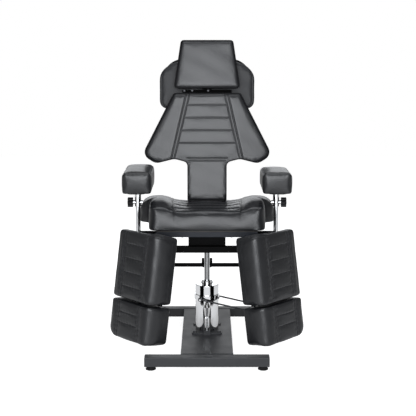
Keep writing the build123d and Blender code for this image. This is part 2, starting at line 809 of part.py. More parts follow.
# Headrest: socket on the board, mast, board with its ears, and the cushion
socket_inner_width = mast_width + 2 * running_gap
socket_width = socket_inner_width + 2 * socket_wall
with BuildPart() as mast_socket:
    with BuildSketch(Plane(on_back(0, socket_bottom_up, 0), x_dir=(1, 0, 0), z_dir=back_plane.y_dir)):
        with Locations((0, -(spine_front_out + mast_out - mast_thickness / 2 - socket_wall) / 2)):
            Rectangle(socket_width, spine_front_out - (mast_out - mast_thickness / 2 - socket_wall))
        with Locations((0, -mast_out)):
            Rectangle(socket_inner_width, mast_thickness + 2 * running_gap, mode=Mode.SUBTRACT)
    extrude(amount=socket_top_up - socket_bottom_up)
mast_socket.part.label = "mast_socket"
export_step(mast_socket.part, "parts/mast_socket.step")

knuckle_half = mast_width / 2
with BuildPart() as headrest_mast:
    with BuildSketch(back_plane.offset(mast_out - mast_thickness / 2)):
        with Locations((0, (mast_bottom_up + head_hinge_up) / 2)):
            Rectangle(mast_width, head_hinge_up - mast_bottom_up)
    extrude(amount=mast_thickness)
    knuckle_start = on_back(-knuckle_half, head_hinge_up, head_hinge_out)
    with BuildSketch(Plane(knuckle_start, z_dir=(1, 0, 0))):
        Circle(head_knuckle_diameter / 2)
    extrude(amount=mast_width)
    with BuildSketch(back_plane.offset(mast_out)):
        with Locations((0, head_hinge_up - head_knuckle_diameter / 4)):
            Rectangle(mast_width, head_knuckle_diameter / 2)
    extrude(amount=head_hinge_out - mast_out)
    with BuildSketch(Plane(knuckle_start, z_dir=(1, 0, 0))):
        Circle(head_pin_diameter / 2 + running_gap)
    extrude(amount=mast_width, mode=Mode.SUBTRACT)
headrest_mast.part.label = "headrest_mast"
export_step(headrest_mast.part, "parts/headrest_mast.step")


def head_outline_points(inset):
    """Trapezoid of the head cushion, drawn in by inset."""
    half_bottom = head_bottom_width / 2 - inset
    half_top = head_top_width / 2 - inset
    bottom = head_bottom_up + inset
    top = head_top_up - inset
    return [(-half_bottom, bottom), (half_bottom, bottom), (half_top, top), (-half_top, top)]


head_board_out = back_face_out - head_thickness - head_board_thickness
head_ear_x = knuckle_half + seat_gap
with BuildPart() as head_board:
    with BuildSketch(back_plane.offset(head_board_out)):
        with BuildLine():
            Polyline(*head_outline_points(leg_board_margin / 2), close=True)
        make_face()
    extrude(amount=head_board_thickness)
    head_pin_start = on_back(-head_ear_x - cradle_lug_thickness, head_hinge_up, head_hinge_out)
    with BuildSketch(Plane(head_pin_start, z_dir=(1, 0, 0))):
        Circle(head_pin_diameter / 2)
    extrude(amount=2 * (head_ear_x + cradle_lug_thickness))
    ear_reach_out = head_board_out - head_hinge_out + head_pin_diameter
    for ear_middle_x in (-head_ear_x - cradle_lug_thickness / 2, head_ear_x + cradle_lug_thickness / 2):
        with BuildSketch(back_plane.offset(head_hinge_out - head_pin_diameter)):
            with Locations((ear_middle_x, head_hinge_up)):
                Rectangle(cradle_lug_thickness, 2 * head_pin_diameter)
        extrude(amount=ear_reach_out)
head_board.part.label = "head_board"
export_step(head_board.part, "parts/head_board.step")

with BuildPart() as head_cushion:
    with BuildSketch(back_plane.offset(head_board_out + head_board_thickness)) as head_outline:
        with BuildLine():
            Polyline(*head_outline_points(0), close=True)
        make_face()
        fillet(head_outline.vertices(), head_corner)
    extrude(amount=head_thickness)
    crown_origin = on_back(0, head_bottom_up, back_face_out - head_crown_radius)
    crown_axis = Plane(crown_origin, x_dir=(1, 0, 0), z_dir=back_plane.y_dir)
    with BuildSketch(crown_axis):
        Circle(head_crown_radius)
    extrude(amount=head_top_up - head_bottom_up, mode=Mode.INTERSECT)
    front_face = head_cushion.faces().sort_by(Axis(back_plane.origin, back_plane.z_dir))[-1]
    fillet(front_face.edges(), head_edge_radius)
head_cushion.part.label = "head_cushion"
export_step(head_cushion.part, "parts/head_cushion.step")


def cradle_arch(inset):
    """Arched outline of the face cradle, drawn in by inset."""
    with BuildSketch(Plane.XY) as arch:
        with Locations((0, (cradle_bottom_up + cradle_top_up) / 2)):
            Rectangle(cradle_width - 2 * inset, cradle_top_up - cradle_bottom_up - 2 * inset)
        fillet(arch.vertices().group_by(Axis.Y)[0], cradle_corner - inset)
        fillet(arch.vertices().group_by(Axis.Y)[-1], cradle_shoulder - inset)
    return arch.sketch


cradle_cushion_face = cradle_arch(0)
cradle_board_face = cradle_arch(leg_board_margin)
with BuildPart() as cradle_board:
    with BuildSketch(back_plane.offset(cradle_face_out - cradle_thickness - cradle_board_thickness)):
        add(cradle_board_face)
        with Locations((0, (cradle_opening_bottom_up + cradle_opening_top_up) / 2)):
            SlotOverall(
                cradle_opening_top_up - cradle_opening_bottom_up + 2 * leg_board_margin,
                cradle_opening_width + 2 * leg_board_margin,
                rotation=90,
                mode=Mode.SUBTRACT,
            )
    extrude(amount=cradle_board_thickness)
    cradle_pin_out = cradle_face_out - cradle_thickness - cradle_board_thickness / 2
    with BuildSketch(Plane(on_back(-socket_width / 2, cradle_pin_up, cradle_pin_out), z_dir=(1, 0, 0))):
        Circle(cradle_pin_diameter)
    extrude(amount=socket_width)
    with BuildSketch(back_plane.offset(cradle_face_out - cradle_thickness - cradle_board_thickness)):
        with Locations((0, (cradle_pin_up + cradle_bottom_up + leg_board_margin) / 2)):
            Rectangle(socket_width, cradle_bottom_up + leg_board_margin - cradle_pin_up)
    extrude(amount=cradle_board_thickness)
    with BuildSketch(Plane(on_back(-socket_width / 2, cradle_pin_up, cradle_pin_out), z_dir=(1, 0, 0))):
        Circle(cradle_pin_diameter / 2 + running_gap)
    extrude(amount=socket_width, mode=Mode.SUBTRACT)
cradle_board.part.label = "cradle_board"
export_step(cradle_board.part, "parts/cradle_board.step")

with BuildPart() as cradle_cushion:
    with BuildSketch(back_plane.offset(cradle_face_out - cradle_thickness)):
        add(cradle_cushion_face)
        with Locations((0, (cradle_opening_bottom_up + cradle_opening_top_up) / 2)):
            SlotOverall(
                cradle_opening_top_up - cradle_opening_bottom_up,
                cradle_opening_width,
                rotation=90,
                mode=Mode.SUBTRACT,
            )
    extrude(amount=cradle_thickness)
    front_face = cradle_cushion.faces().sort_by(Axis(back_plane.origin, back_plane.z_dir))[-1]
    fillet(front_face.outer_wire().edges(), cradle_edge_radius)
cradle_cushion.part.label = "cradle_cushion"
export_step(cradle_cushion.part, "parts/cradle_cushion.step")

# Ears on the socket that carry the cradle's pin
cradle_ear_x = socket_width / 2 + seat_gap
ear_out_start = cradle_pin_out - cradle_pin_diameter
with BuildPart() as cradle_bracket:
    for ear_middle_x in (-cradle_ear_x - cradle_lug_thickness / 2, cradle_ear_x + cradle_lug_thickness / 2):
        with BuildSketch(back_plane.offset(ear_out_start)):
            with Locations((ear_middle_x, cradle_pin_up - cradle_pin_diameter / 2)):
                Rectangle(cradle_lug_thickness, 3 * cradle_pin_diameter)
        extrude(amount=spine_front_out - ear_out_start)
    with BuildSketch(Plane(on_back(-cradle_ear_x, cradle_pin_up, cradle_pin_out), z_dir=(1, 0, 0))):
        Circle(cradle_pin_diameter / 2)
    extrude(amount=2 * cradle_ear_x)
cradle_bracket.part.label = "cradle_bracket"
export_step(cradle_bracket.part, "parts/cradle_bracket.step")

# Recline release: shaft under the inner rails, two arms, the bar with its grip and the brake shoes
shaft_half = release_arm_x + release_arm_thickness / 2
with BuildPart() as release_brackets:
    for side in (-1, 1):
        with BuildSketch(Plane.YZ.offset(side * inner_rail_x - bracket_thickness / 2)):
            with Locations((release_shaft_y, (release_shaft_z + rail_bottom_z) / 2)):
                Rectangle(2 * release_shaft_diameter, rail_bottom_z - release_shaft_z)
            with Locations((release_shaft_y, release_shaft_z)):
                Circle(release_shaft_diameter)
                Circle(release_shaft_diameter / 2 + running_gap, mode=Mode.SUBTRACT)
        extrude(amount=bracket_thickness)
release_brackets.part.label = "release_brackets"
export_step(release_brackets.part, "parts/release_brackets.step")

with BuildPart() as release_shaft:
    with BuildSketch(Plane.YZ.offset(-shaft_half)):
        with Locations((release_shaft_y, release_shaft_z)):
            Circle(release_shaft_diameter / 2)
    extrude(amount=2 * shaft_half)
release_shaft.part.label = "release_shaft"
export_step(release_shaft.part, "parts/release_shaft.step")

arm_run = Vector(0, release_bar_y - release_shaft_y, release_bar_z - release_shaft_z)
arm_middle = Vector(0, release_shaft_y, release_shaft_z) + arm_run * 0.5
arm_span = arm_run.length
arm_dir = arm_run.normalized()
with BuildPart() as release_arms:
    for side in (-1, 1):
        arm_plane = Plane(
            (side * release_arm_x - release_arm_thickness / 2, arm_middle.Y, arm_middle.Z),
            x_dir=arm_dir,
            z_dir=(1, 0, 0),
        )
        with BuildSketch(arm_plane):
            SlotCenterToCenter(arm_span, release_arm_width)
            with GridLocations(arm_span, 0, 2, 1):
                Circle(release_shaft_diameter / 2 + running_gap, mode=Mode.SUBTRACT)
        extrude(amount=release_arm_thickness)
release_arms.part.label = "release_arms"
export_step(release_arms.part, "parts/release_arms.step")

bar_middle_half = release_arm_x - release_arm_thickness / 2 - running_gap
with BuildPart() as release_bar:
    with BuildSketch(Plane.YZ.offset(-bar_middle_half)):
        with Locations((release_bar_y, release_bar_z)):
            Circle(release_bar_diameter / 2)
    extrude(amount=2 * bar_middle_half)
    with BuildSketch(Plane.YZ.offset(-release_bar_length / 2)):
        with Locations((release_bar_y, release_bar_z)):
            Circle(release_shaft_diameter / 2)
    extrude(amount=release_bar_length)
    with BuildSketch(Plane.YZ.offset(-release_grip_length / 2)):
        with Locations((release_bar_y, release_bar_z)):
            Circle(release_grip_diameter / 2)
    extrude(amount=release_grip_length)
release_bar.part.label = "release_bar"
export_step(release_bar.part, "parts/release_bar.step")

shoe_angle = math.radians(brake_end + shoe_lead)
shoe_point = on_brake(brake_radius + seat_gap, math.degrees(shoe_angle))
with BuildPart() as brake_shoes:
    for side in (-1, 1):
        with BuildSketch(Plane.YZ.offset(side * brake_x - brake_thickness / 2)):
            with BuildLine():
                Polyline(
                    (release_shaft_y, release_shaft_z + release_shaft_diameter),
                    (release_shaft_y, release_shaft_z - release_shaft_diameter),
                    (shoe_point[0] + shoe_width, shoe_point[1] - shoe_width),
                    (shoe_point[0] + shoe_width, shoe_point[1] + shoe_width),
                    (shoe_point[0] - shoe_width, shoe_point[1] + shoe_width),
                    close=True,
                )
            make_face()
            with Locations((hinge_y, hinge_z)):
                Circle(brake_radius + seat_gap, mode=Mode.SUBTRACT)
            with Locations((release_shaft_y, release_shaft_z)):
                Circle(release_shaft_diameter)
                Circle(release_shaft_diameter / 2 + running_gap, mode=Mode.SUBTRACT)
        extrude(amount=brake_thickness)
brake_shoes.part.label = "brake_shoes"
export_step(brake_shoes.part, "parts/brake_shoes.step")

# Armrests: outriggers, posts, and for each side a sleeve, a plate, a cushion and a clamp knob
outrigger_inner_x = frame_half - rail_depth
outrigger_outer_x = arm_x + outrigger_depth / 2
with BuildPart() as armrest_outriggers:
    for side in (-1, 1):
        with BuildSketch(Plane.XY.offset(rail_bottom_z - outrigger_height)):
            with Locations((side * (outrigger_inner_x + outrigger_outer_x) / 2, arm_y)):
                Rectangle(outrigger_outer_x - outrigger_inner_x, outrigger_depth)
        extrude(amount=outrigger_height)
    fillet(armrest_outriggers.edges().filter_by(Axis.Z), beam_end_fillet)
armrest_outriggers.part.label = "armrest_outriggers"
export_step(armrest_outriggers.part, "parts/armrest_outriggers.step")

with BuildPart() as armrest_posts:
    with BuildSketch(Plane.XY.offset(rail_bottom_z)):
        with Locations((0, arm_y)):
            with GridLocations(2 * arm_x, 0, 2, 1):
                Circle(arm_post_diameter / 2)
    extrude(amount=arm_post_top_z - rail_bottom_z)
    chamfer(armrest_posts.edges().group_by(Axis.Z)[-1], 2 * overrun)
armrest_posts.part.label = "armrest_posts"
export_step(armrest_posts.part, "parts/armrest_posts.step")

arm_plate_bottom_z = arm_pad_bottom_z - arm_plate_thickness
for name, side in (("left", -1), ("right", 1)):
    centre_x = side * arm_x
    boss_start = sleeve_diameter / 2 - beam_wall
    with BuildPart() as armrest_sleeve:
        with BuildSketch(Plane.XY.offset(sleeve_bottom_z)):
            with Locations((centre_x, arm_y)):
                Circle(sleeve_diameter / 2)
        extrude(amount=sleeve_top_z - sleeve_bottom_z)
        with BuildSketch(Plane.YZ.offset(centre_x - sleeve_diameter / 2 - knob_boss_length)):
            with Locations((arm_y, knob_z)):
                Circle(knob_boss_diameter / 2)
        extrude(amount=sleeve_diameter + 2 * knob_boss_length)
        with BuildSketch(Plane.XY.offset(sleeve_bottom_z)):
            with Locations((centre_x, arm_y)):
                Circle(arm_post_diameter / 2 + running_gap)
        extrude(amount=sleeve_top_z - sleeve_cap - sleeve_bottom_z, mode=Mode.SUBTRACT)
        with BuildSketch(Plane.YZ.offset(centre_x)):
            with Locations((arm_y, knob_z)):
                Circle(knob_stem_diameter / 2 + running_gap)
        extrude(amount=side * (sleeve_diameter / 2 + knob_boss_length), mode=Mode.SUBTRACT)
        with BuildSketch(Plane.XY.offset(sleeve_top_z - sleeve_cap)):
            with Locations((centre_x, arm_y)):
                Circle(arm_pin_diameter / 4)
        extrude(amount=arm_plate_bottom_z - sleeve_top_z + sleeve_cap)
    armrest_sleeve.part.label = f"{name}_armrest_sleeve"
    export_step(armrest_sleeve.part, f"parts/{name}_armrest_sleeve.step")

    pad_middle_y = (arm_pad_front_y + arm_pad_back_y) / 2
    pad_length = arm_pad_back_y - arm_pad_front_y
    plate_width_x = arm_pad_width - 2 * arm_plate_margin
    plate_length_y = pad_length - 2 * arm_plate_margin
    with BuildPart() as armrest_plate:
        with BuildSketch(Plane.XY.offset(arm_plate_bottom_z)):
            with Locations((centre_x, pad_middle_y)):
                RectangleRounded(plate_width_x, plate_length_y, arm_plate_margin)
            with Locations((centre_x, arm_y)):
                Circle(arm_pin_diameter / 4 + running_gap, mode=Mode.SUBTRACT)
        extrude(amount=arm_plate_thickness)
        with BuildSketch(Plane.XY.offset(sleeve_top_z + seat_gap)):
            with Locations((centre_x, arm_y)):
                Circle(arm_post_diameter / 2)
                Circle(arm_pin_diameter / 4 + running_gap, mode=Mode.SUBTRACT)
        extrude(amount=arm_plate_bottom_z - sleeve_top_z - seat_gap)
    armrest_plate.part.label = f"{name}_armrest_plate"
    export_step(armrest_plate.part, f"parts/{name}_armrest_plate.step")

    with BuildPart() as armrest_cushion:
        with BuildSketch(Plane.XY.offset(arm_pad_bottom_z)) as pad_outline:
            with Locations((centre_x, pad_middle_y)):
                Rectangle(arm_pad_width, pad_length)
            fillet(pad_outline.vertices().group_by(Axis.Y)[0], arm_pad_front_corner)
            fillet(pad_outline.vertices().group_by(Axis.Y)[-1], arm_pad_back_corner)
        extrude(amount=arm_pad_top_z - arm_pad_bottom_z)
        crown_centre = (centre_x, arm_pad_top_z - arm_pad_crown_radius)
        with BuildSketch(Plane.XZ.offset(-arm_pad_back_y)):
            with Locations(crown_centre):
                Circle(arm_pad_crown_radius)
        extrude(amount=pad_length, mode=Mode.INTERSECT)
        fillet(armrest_cushion.faces().sort_by(Axis.Z)[-1].edges(), arm_pad_edge_radius)
        fillet(armrest_cushion.faces().sort_by(Axis.Z)[0].edges(), arm_pad_edge_radius / 2)
    armrest_cushion.part.label = f"{name}_armrest_cushion"
    export_step(armrest_cushion.part, f"parts/{name}_armrest_cushion.step")

    knob_inner_x = sleeve_diameter / 2 + knob_boss_length + seat_gap
    knob_plane = Plane(
        (centre_x + side * knob_inner_x, arm_y, knob_z),
        x_dir=(0, 1, 0),
        z_dir=(side, 0, 0),
    )
    stem_start = arm_post_diameter / 2 + running_gap
    with BuildPart() as clamp_knob:
        with BuildSketch(knob_plane):
            Circle(knob_diameter / 2 - knob_lobe_diameter / 2)
            with PolarLocations(knob_diameter / 2 - knob_lobe_diameter / 2, knob_lobes):
                Circle(knob_lobe_diameter / 2)
        extrude(amount=knob_thickness)
        fillet(clamp_knob.faces().sort_by(Axis(knob_plane.origin, knob_plane.z_dir))[-1].edges(), beam_wall / 2)
        with BuildSketch(knob_plane):
            Circle(knob_stem_diameter / 2)
        extrude(amount=-(knob_inner_x - stem_start))
    clamp_knob.part.label = f"{name}_clamp_knob"
    export_step(clamp_knob.part, f"parts/{name}_clamp_knob.step")

# Leg rests
yaw = math.radians(leg_yaw)
pitch = math.radians(leg_pitch)
pad_back_out = leg_back_out + leg_board_thickness
pad_front_out = leg_back_out + leg_thickness
pad_depth = leg_thickness - leg_board_thickness
calf_bottom_up = leg_top_up - calf_length
foot_top_up = calf_bottom_up - leg_split
foot_bottom_up = foot_top_up - foot_length
seam_x_shares = (-0.21, 0.285)
calf_seam_shares = (0.17, 0.39, 0.61, 0.83)
foot_seam_shares = (0.3, 0.58)
for name, side in (("left", -1), ("right", 1)):
    facing = Vector(side * math.sin(yaw), -math.cos(yaw), 0)
    across = Vector(math.cos(yaw), side * math.sin(yaw), 0)
    hinge_point = Vector(side * leg_hinge_x, leg_hinge_y, leg_hinge_z)
    pin_point = Vector(side * leg_pin_x, crossbar_y, 0)
    reach = (hinge_point - pin_point).dot(facing)
    lateral = (hinge_point - pin_point).dot(across)
    plan = Plane(origin=pin_point, x_dir=across, z_dir=(0, 0, 1))
    toward = 1 if plan.y_dir.dot(facing) > 0 else -1
    pad_normal = facing * math.cos(pitch) + Vector(0, 0, math.sin(pitch))
    leg_plane = Plane(origin=hinge_point, x_dir=across, z_dir=pad_normal)

    # Swivel bracket: two plates round the crossbar on a pin, a shelf and the raising hinge's barrel
    half_bracket = leg_bracket_width / 2
    upright_near = math.hypot(crossbar_depth, crossbar_depth) / 2 + half_bracket / 2
    upright_far = upright_near + leg_riser_thickness
    lower_plate_z = housing_bottom_z - seat_gap - leg_plate_thickness
    upper_plate_z = housing_bottom_z + crossbar_height + seat_gap
    shelf_z = upper_plate_z
    riser_near = reach - leg_riser_thickness / 2
    with BuildPart() as leg_bracket:
        for plate_z in (lower_plate_z, upper_plate_z):
            with BuildSketch(plan.offset(plate_z)):
                Circle(half_bracket)
                with Locations((0, toward * upright_far / 2)):
                    Rectangle(leg_bracket_width, upright_far)
            extrude(amount=leg_plate_thickness)
        with BuildSketch(plan.offset(lower_plate_z)):
            with Locations((0, toward * (upright_near + upright_far) / 2)):
                Rectangle(leg_bracket_width, leg_riser_thickness)
        extrude(amount=upper_plate_z + leg_plate_thickness - lower_plate_z)
        with BuildSketch(plan.offset(shelf_z)):
            with Locations((lateral / 2, toward * (upright_near + reach + leg_riser_thickness / 2) / 2)):
                Rectangle(abs(lateral) + leg_bracket_width, reach + leg_riser_thickness / 2 - upright_near)
        extrude(amount=leg_plate_thickness)
        with BuildSketch(plan.offset(shelf_z)):
            with Locations((lateral, toward * reach)):
                Rectangle(leg_barrel_length, leg_riser_thickness)
        extrude(amount=leg_hinge_z - shelf_z)
        with BuildSketch(Plane(hinge_point - across * (leg_barrel_length / 2), z_dir=across)):
            Circle(leg_barrel_diameter / 2)
        extrude(amount=leg_barrel_length)
        with BuildSketch(Plane(hinge_point - across * (leg_barrel_length / 2), z_dir=across)):
            Circle(leg_hinge_pin_diameter / 2 + running_gap)
        extrude(amount=leg_barrel_length, mode=Mode.SUBTRACT)
        with BuildSketch(plan.offset(lower_plate_z)):
            Circle(leg_pin_diameter / 2)
        extrude(amount=upper_plate_z + leg_plate_thickness - lower_plate_z)
    leg_bracket.part.label = f"{name}_leg_bracket"
    export_step(leg_bracket.part, f"parts/{name}_leg_bracket.step")

    # Leg frame: backing board, hinge lugs with their pin, and the two guide sleeves of the foot pad
    lug_inner = leg_barrel_length / 2 + seat_gap
    board_half = leg_width / 2 - leg_board_margin
    with BuildPart() as leg_frame:
        with BuildSketch(leg_plane.offset(leg_back_out)):
            with Locations((0, leg_top_up - leg_board_margin / 2 - (calf_length - leg_board_margin) / 2)):
                Rectangle(2 * board_half, calf_length - leg_board_margin)
        extrude(amount=leg_board_thickness)
        for lug_side in (-1, 1):
            with BuildSketch(leg_plane.offset(-leg_hinge_pin_diameter)):
                with Locations((lug_side * (lug_inner + leg_lug_thickness / 2), -leg_top_up / 2)):
                    Rectangle(leg_lug_thickness, leg_top_up + 2 * leg_hinge_pin_diameter)
            extrude(amount=leg_hinge_pin_diameter + leg_back_out)
        with BuildSketch(Plane(hinge_point - across * (lug_inner + leg_lug_thickness), z_dir=across)):
            Circle(leg_hinge_pin_diameter / 2)
        extrude(amount=2 * (lug_inner + leg_lug_thickness))
        sleeve_low = Vector(0, calf_bottom_up + leg_board_margin, leg_back_out - foot_sleeve_size / 2)
        sleeve_start = leg_plane.from_local_coords(sleeve_low)
        with BuildSketch(Plane(sleeve_start, x_dir=across, z_dir=leg_plane.y_dir)):
            with GridLocations(2 * foot_rod_x, 0, 2, 1):
                Rectangle(foot_sleeve_size, foot_sleeve_size)
        extrude(amount=foot_sleeve_length)
        with BuildSketch(Plane(sleeve_start, x_dir=across, z_dir=leg_plane.y_dir)):
            with GridLocations(2 * foot_rod_x, 0, 2, 1):
                Circle(foot_rod_diameter / 2 + running_gap)
        extrude(amount=foot_sleeve_length, mode=Mode.SUBTRACT)
    leg_frame.part.label = f"{name}_leg_frame"
    export_step(leg_frame.part, f"parts/{name}_leg_frame.step")

    # Foot frame: backing board, two rods and the blocks that hold them
    rod_bottom_up = foot_bottom_up + 2 * leg_board_margin
    rod_top_up = calf_bottom_up + leg_board_margin + foot_sleeve_length - seat_gap
    block_length = foot_top_up - leg_board_margin - rod_bottom_up
    with BuildPart() as foot_frame:
        with BuildSketch(leg_plane.offset(leg_back_out)):
            with Locations((0, (foot_top_up + foot_bottom_up) / 2)):
                Rectangle(2 * board_half, foot_length - 2 * leg_board_margin)
        extrude(amount=leg_board_thickness)
        rod_low = Vector(0, rod_bottom_up, leg_back_out - foot_sleeve_size / 2)
        rod_start = leg_plane.from_local_coords(rod_low)
        with BuildSketch(Plane(rod_start, x_dir=across, z_dir=leg_plane.y_dir)):
            with GridLocations(2 * foot_rod_x, 0, 2, 1):
                Rectangle(foot_sleeve_size, foot_sleeve_size)
        extrude(amount=block_length)
        with BuildSketch(Plane(rod_start, x_dir=across, z_dir=leg_plane.y_dir)):
            with GridLocations(2 * foot_rod_x, 0, 2, 1):
                Circle(foot_rod_diameter / 2)
        extrude(amount=rod_top_up - rod_bottom_up)
    foot_frame.part.label = f"{name}_foot_frame"
    export_step(foot_frame.part, f"parts/{name}_foot_frame.step")

    # Cushions of the calf and the foot
    crown_low = Vector(0, foot_bottom_up, pad_front_out - leg_crown_radius)
    crown_axis_origin = leg_plane.from_local_coords(crown_low)
    crown_plane = Plane(crown_axis_origin, x_dir=across, z_dir=leg_plane.y_dir)
    outward_axis = Axis(leg_plane.origin, leg_plane.x_dir * side)
    up_axis = Axis(leg_plane.origin, leg_plane.y_dir)
    face_axis = Axis(leg_plane.origin, leg_plane.z_dir)
    with BuildPart() as calf_cushion:
        with BuildSketch(leg_plane.offset(pad_back_out)):
            with Locations((0, (leg_top_up + calf_bottom_up) / 2)):
                RectangleRounded(leg_width, calf_length, leg_corner)
        extrude(amount=pad_depth)
        with BuildSketch(crown_plane):
            Circle(leg_crown_radius)
        extrude(amount=leg_top_up - foot_bottom_up, mode=Mode.INTERSECT)
        fillet(calf_cushion.faces().sort_by(face_axis)[-1].edges(), leg_edge_radius)
        with BuildSketch(leg_plane.offset(pad_front_out - 2 * channel_depth)):
            for share in seam_x_shares:
                with Locations((side * share * leg_width, (leg_top_up + calf_bottom_up) / 2)):
                    Rectangle(channel_width, calf_length)
            for share in calf_seam_shares:
                with Locations((side * sum(seam_x_shares) / 2 * leg_width, leg_top_up - share * calf_length)):
                    Rectangle((seam_x_shares[1] - seam_x_shares[0]) * leg_width, channel_width)
        extrude(amount=2 * channel_depth + overrun, mode=Mode.SUBTRACT)
    calf_cushion.part.label = f"{name}_calf_cushion"
    export_step(calf_cushion.part, f"parts/{name}_calf_cushion.step")

    with BuildPart() as foot_cushion:
        with BuildSketch(leg_plane.offset(pad_back_out)) as foot_outline:
            with Locations((0, (foot_top_up + foot_bottom_up) / 2)):
                Rectangle(leg_width, foot_length)
            outer_pair = foot_outline.vertices().sort_by(outward_axis)[2:4].sort_by(up_axis)
            fillet(outer_pair[0], foot_outer_corner)
            fillet(foot_outline.vertices().sort_by(outward_axis)[0:2], leg_corner)
        extrude(amount=pad_depth)
        with BuildSketch(crown_plane):
            Circle(leg_crown_radius)
        extrude(amount=leg_top_up - foot_bottom_up, mode=Mode.INTERSECT)
        fillet(foot_cushion.faces().sort_by(face_axis)[-1].edges(), leg_edge_radius)
        with BuildSketch(leg_plane.offset(pad_front_out - 2 * channel_depth)):
            for share in seam_x_shares:
                with Locations((side * share * leg_width, (foot_top_up + foot_bottom_up) / 2)):
                    Rectangle(channel_width, foot_length)
            for share in foot_seam_shares:
                with Locations((side * sum(seam_x_shares) / 2 * leg_width, foot_top_up - share * foot_length)):
                    Rectangle((seam_x_shares[1] - seam_x_shares[0]) * leg_width, channel_width)
        extrude(amount=2 * channel_depth + overrun, mode=Mode.SUBTRACT)
    foot_cushion.part.label = f"{name}_foot_cushion"
    export_step(foot_cushion.part, f"parts/{name}_foot_cushion.step")
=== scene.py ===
import json
import math

import bmesh
import bpy
import numpy as np
from mathutils import Matrix, Vector
from mathutils.bvhtree import BVHTree
from mathutils.geometry import convex_hull_2d


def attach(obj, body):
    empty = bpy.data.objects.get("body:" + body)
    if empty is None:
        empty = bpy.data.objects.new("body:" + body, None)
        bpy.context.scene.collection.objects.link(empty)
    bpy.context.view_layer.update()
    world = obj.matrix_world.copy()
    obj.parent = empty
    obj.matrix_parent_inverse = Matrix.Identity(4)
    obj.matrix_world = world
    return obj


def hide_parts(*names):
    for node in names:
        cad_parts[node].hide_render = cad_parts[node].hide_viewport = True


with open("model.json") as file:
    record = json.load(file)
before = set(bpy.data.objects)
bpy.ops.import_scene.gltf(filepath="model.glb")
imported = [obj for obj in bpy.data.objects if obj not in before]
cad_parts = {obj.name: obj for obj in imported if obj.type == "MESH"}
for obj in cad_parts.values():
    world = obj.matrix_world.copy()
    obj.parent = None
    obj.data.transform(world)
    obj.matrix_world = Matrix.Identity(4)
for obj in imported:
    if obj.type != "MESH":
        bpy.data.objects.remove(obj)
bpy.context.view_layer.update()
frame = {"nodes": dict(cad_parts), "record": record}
nodes = frame["nodes"]
print("frame loaded:", len(nodes), "nodes")

# Planes of the chair, in metres: x across, y up along the pad, z out of its face
backRest = {"lean": 7.0, "hinge": (0.0, 0.300, 0.577)}
legRest = {"yaw": 46.0, "pitch": 9.1, "hinge": (0.228, -0.181, 0.582)}


def planeOf(origin, across, facing):
    up = facing.cross(across)
    placed = Matrix((across, up, facing)).transposed().to_4x4()
    placed.translation = origin
    return placed


lean = math.radians(backRest["lean"])
backPlane = planeOf(Vector(backRest["hinge"]), Vector((1, 0, 0)), Vector((0, -math.cos(lean), math.sin(lean))))


def legPlane(side):
    yaw = math.radians(legRest["yaw"])
    pitch = math.radians(legRest["pitch"])
    x, y, z = legRest["hinge"]
    across = Vector((math.cos(yaw), side * math.sin(yaw), 0))
    ahead = Vector((side * math.sin(yaw), -math.cos(yaw), 0))
    facing = ahead * math.cos(pitch) + Vector((0, 0, math.sin(pitch)))
    return planeOf(Vector((side * x, y, z)), across, facing)


# Materials
def newGroup(name, inputs, outputs):
    group = bpy.data.node_groups.new(name, "ShaderNodeTree")
    for label, value in inputs.items():
        kind = "NodeSocketFloat" if isinstance(value, float) else "NodeSocketVector"
        socket = group.interface.new_socket(name=label, in_out="INPUT", socket_type=kind)
        if value is not None:
            socket.default_value = value
    for label in outputs:
        group.interface.new_socket(name=label, in_out="OUTPUT", socket_type="NodeSocketFloat")
    return group, group.nodes.new("NodeGroupInput").outputs, group.nodes.new("NodeGroupOutput").inputs


def node(tree, kind, links=(), **values):
    made = tree.nodes.new(kind)
    for key, value in values.items():
        setattr(made, key, value)
    for name, source in dict(links).items():
        if isinstance(source, (int, float, tuple, str)):
            made.inputs[name].default_value = source
        else:
            tree.links.new(source, made.inputs[name])
    return made


def calc(tree, operation, *given):
    return node(tree, "ShaderNodeMath", dict(enumerate(given)), operation=operation).outputs["Value"]


def ramp(tree, value, start, end, low=0.0, high=1.0, kind="LINEAR"):
    return node(tree, "ShaderNodeMapRange", {
        "Value": value, "From Min": start, "From Max": end, "To Min": low, "To Max": high},
        interpolation_type=kind).outputs["Result"]


def noise(tree, at, scale, detail, roughness=0.5, distortion=0.0):
    return node(tree, "ShaderNodeTexNoise", {
        "Vector": at, "Scale": scale, "Detail": detail, "Roughness": roughness,
        "Distortion": distortion}).outputs["Fac"]


def leatherGrain():
    # pebbled cells broken by soft creases, and a slow drift of tone
    group, given, result = newGroup(
        "leather grain", {"Vector": None, "Pebble Scale": 620.0, "Crease Scale": 48.0, "Crease": 0.5},
        ["Height", "Tone", "Polish"])
    at = given["Vector"]
    cells = node(group, "ShaderNodeTexVoronoi", {"Vector": at, "Scale": given["Pebble Scale"]},
                 feature="DISTANCE_TO_EDGE")
    pebble = ramp(group, cells.outputs["Distance"], 0.0, 0.28, kind="SMOOTHSTEP")
    creases = noise(group, at, given["Crease Scale"], 5.0, roughness=0.55, distortion=1.4)
    fold = calc(group, "ABSOLUTE", ramp(group, creases, 0.35, 0.65, -1.0, 1.0))
    height = calc(group, "MULTIPLY_ADD", pebble, 0.11, calc(group, "MULTIPLY", fold, given["Crease"]))
    group.links.new(height, result["Height"])
    group.links.new(noise(group, at, 9.0, 3.0), result["Tone"])
    group.links.new(pebble, result["Polish"])
    return group


